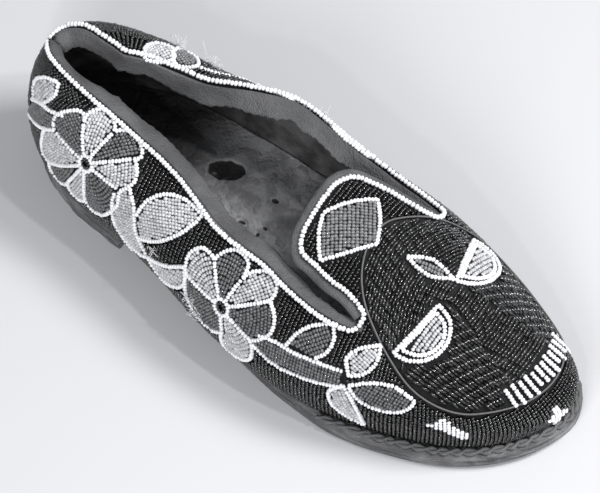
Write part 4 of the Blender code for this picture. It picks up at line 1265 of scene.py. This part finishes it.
mask_s, mask_v = on_top(MASK[:, 0], MASK[:, 1])
couched_path = under_skin(mask_s, mask_v, COUCHED_DEPTH)
couched = build_mesh("couched_line", waxed.material,
                     [carried(couched_path, skin_normal(mask_s, mask_v), COUCHED_RADIUS, COUCHED_RADIUS, 8)],
                     closed_rows=True, caps=True)

braid_s = np.linspace(rim_at_x(176, False), rim_at_x(214, True), 900)
braid_plan = feather(braid_s) + radial(braid_s) * (tuck_in(rim(braid_s)[:, 0]) * 0.6 + 1.3)[:, None]
braid_z = outsole_underside(braid_plan[:, 0]) + OUTSOLE_THICK + 2 * GAP + WELT_THICK + 1.0
braid_path = np.concatenate([braid_plan, braid_z[:, None]], 1)
braid_run = np.concatenate([[0], np.cumsum(np.linalg.norm(np.diff(braid_path, axis=0), axis=1))])
out = np.concatenate([radial(braid_s), np.zeros((len(braid_s), 1))], 1)
uneven = 0.35 * np.sin(braid_run * 0.23) + 0.25 * np.sin(braid_run * 0.61)
strands = []
for strand in range(2):
    phase = 2 * np.pi * braid_run / BRAID_LAY + strand * np.pi + uneven
    line = braid_path + out * np.cos(phase)[:, None] * BRAID_SWING
    line = line + np.array([0, 0, BRAID_LIFT]) * np.sin(phase)[:, None]
    thick = STRAND_RADIUS + 0.2 * np.cos(2 * phase)
    strands.append(carried(line, np.tile([0, 0, 1.0], (len(line), 1)), thick, thick * 0.75, 8))
braid = build_mesh("welt_braid_stitches", waxed.material, strands, closed_rows=True, caps=True)
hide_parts("welt_braid")

# --- Frayed threads ---------------------------------------------------------------------------------------
# Where beads are lost, the ends of the thread that held them stand up in small tufts. Each fibre is a thin
# round rod that leaves the hide and curls.

FIBRE_RADIUS = 0.12

def tuft(places, fibres, reach, seed):
    """Tufts of fibres: each leaves the skin at a place, rises along the normal, and curls over."""
    rng = np.random.default_rng(seed)
    t = np.linspace(0, 1, 9)[:, None]
    paths = []
    for s, h in places:
        place = up_side(s, h)
        root, normal = skin(*place), skin_normal(*place)
        for _ in range(fibres):
            start = root + rng.normal(0, 1.6, 3) * (1 - abs(normal)) - normal * 0.8
            lean = rng.normal(0, 1, 3)
            curl = rng.normal(0, 1, 3)
            length = reach * rng.uniform(0.5, 1.1)
            line = start + (normal * 0.4 + lean * 0.35) * t * length + curl * np.sin(t * 4) * length * 0.22
            paths.append(carried(line, np.tile(np.cross(curl, lean), (9, 1)), FIBRE_RADIUS,
                                 FIBRE_RADIUS, 4))
    return paths


frayed = Finish("frayed_thread", Roughness=0.9)
frayed.feed("Base Color", frayed.mix(frayed.noise(1500, 2), grey(0.55), grey(0.85)))
tufts = tuft([(543, 52), (528, 50), (474, 58)], 30, 5.5, 31) + tuft([(136, 20), (132, 24)], 24, 4.5, 32)
tufts += tuft([(108, 27)], 6, 5.0, 33)
threads = build_mesh("thread_tufts", frayed.material, tufts, closed_rows=True, caps=True)

# --- Studio -----------------------------------------------------------------------------------------------
# A pale sweep under broad soft light from the right, and a long lens from above the lateral side.


def studio_light(name, place, size, power):
    """A square soft light at place, in metres, turned to face the shoe."""
    lamp = bpy.data.lights.new(name, "AREA")
    lamp.energy, lamp.size = power, size
    holder = bpy.data.objects.new(name, lamp)
    holder.location = place
    holder.rotation_mode = "QUATERNION"
    holder.rotation_quaternion = (Vector((0, 0, 0.03)) - Vector(place)).to_track_quat("-Z", "Y")
    bpy.context.scene.collection.objects.link(holder)


floor_mesh = bpy.data.meshes.new("floor")
floor_mesh.from_pydata([(-4, -4, 0), (4, -4, 0), (4, 4, 0), (-4, 4, 0)], [], [(0, 1, 2, 3)])
floor = bpy.data.objects.new("floor", floor_mesh)
bpy.context.scene.collection.objects.link(floor)
paper = Finish("pale_paper", Roughness=0.9)
paper.feed("Base Color", paper.mix(paper.noise(3, 2), grey(0.55), grey(0.58)))
floor_mesh.materials.append(paper.material)

world = bpy.data.worlds.new("soft_room")
world.use_nodes = True
world.node_tree.nodes["Background"].inputs["Color"].default_value = (0.9, 0.93, 0.96, 1)
world.node_tree.nodes["Background"].inputs["Strength"].default_value = 0.37
bpy.context.scene.world = world
bpy.context.scene.view_settings.view_transform = "Standard"
studio_light("key", (0.6, 0.45, 0.95), 0.34, 12.5)
studio_light("fill", (0.25, -1.0, 0.75), 0.4, 8)
studio_light("sparkle_right", (0.5, 0.1, 1.0), 0.05, 2.5)
studio_light("sparkle_front", (0.35, -0.75, 0.9), 0.05, 1.6)

AZIMUTH, ELEVATION, DISTANCE = np.radians(33.59), np.radians(58.0), 1.4853
AIM = np.array([3.06, 0.87, 30]) * MM
back = np.array([np.sin(AZIMUTH) * np.cos(ELEVATION), -np.cos(AZIMUTH) * np.cos(ELEVATION),
                 np.sin(ELEVATION)])
lens = bpy.data.cameras.new("long_lens")
lens.lens, lens.sensor_width = 214.5, 36.0
lens.shift_x, lens.shift_y = -0.0018, 0.0069
camera = bpy.data.objects.new("long_lens", lens)
camera.location = AIM + back * DISTANCE
camera.rotation_mode = "QUATERNION"
camera.rotation_quaternion = Vector(-back).to_track_quat("-Z", "Y")
bpy.context.scene.collection.objects.link(camera)
bpy.context.scene.camera = camera
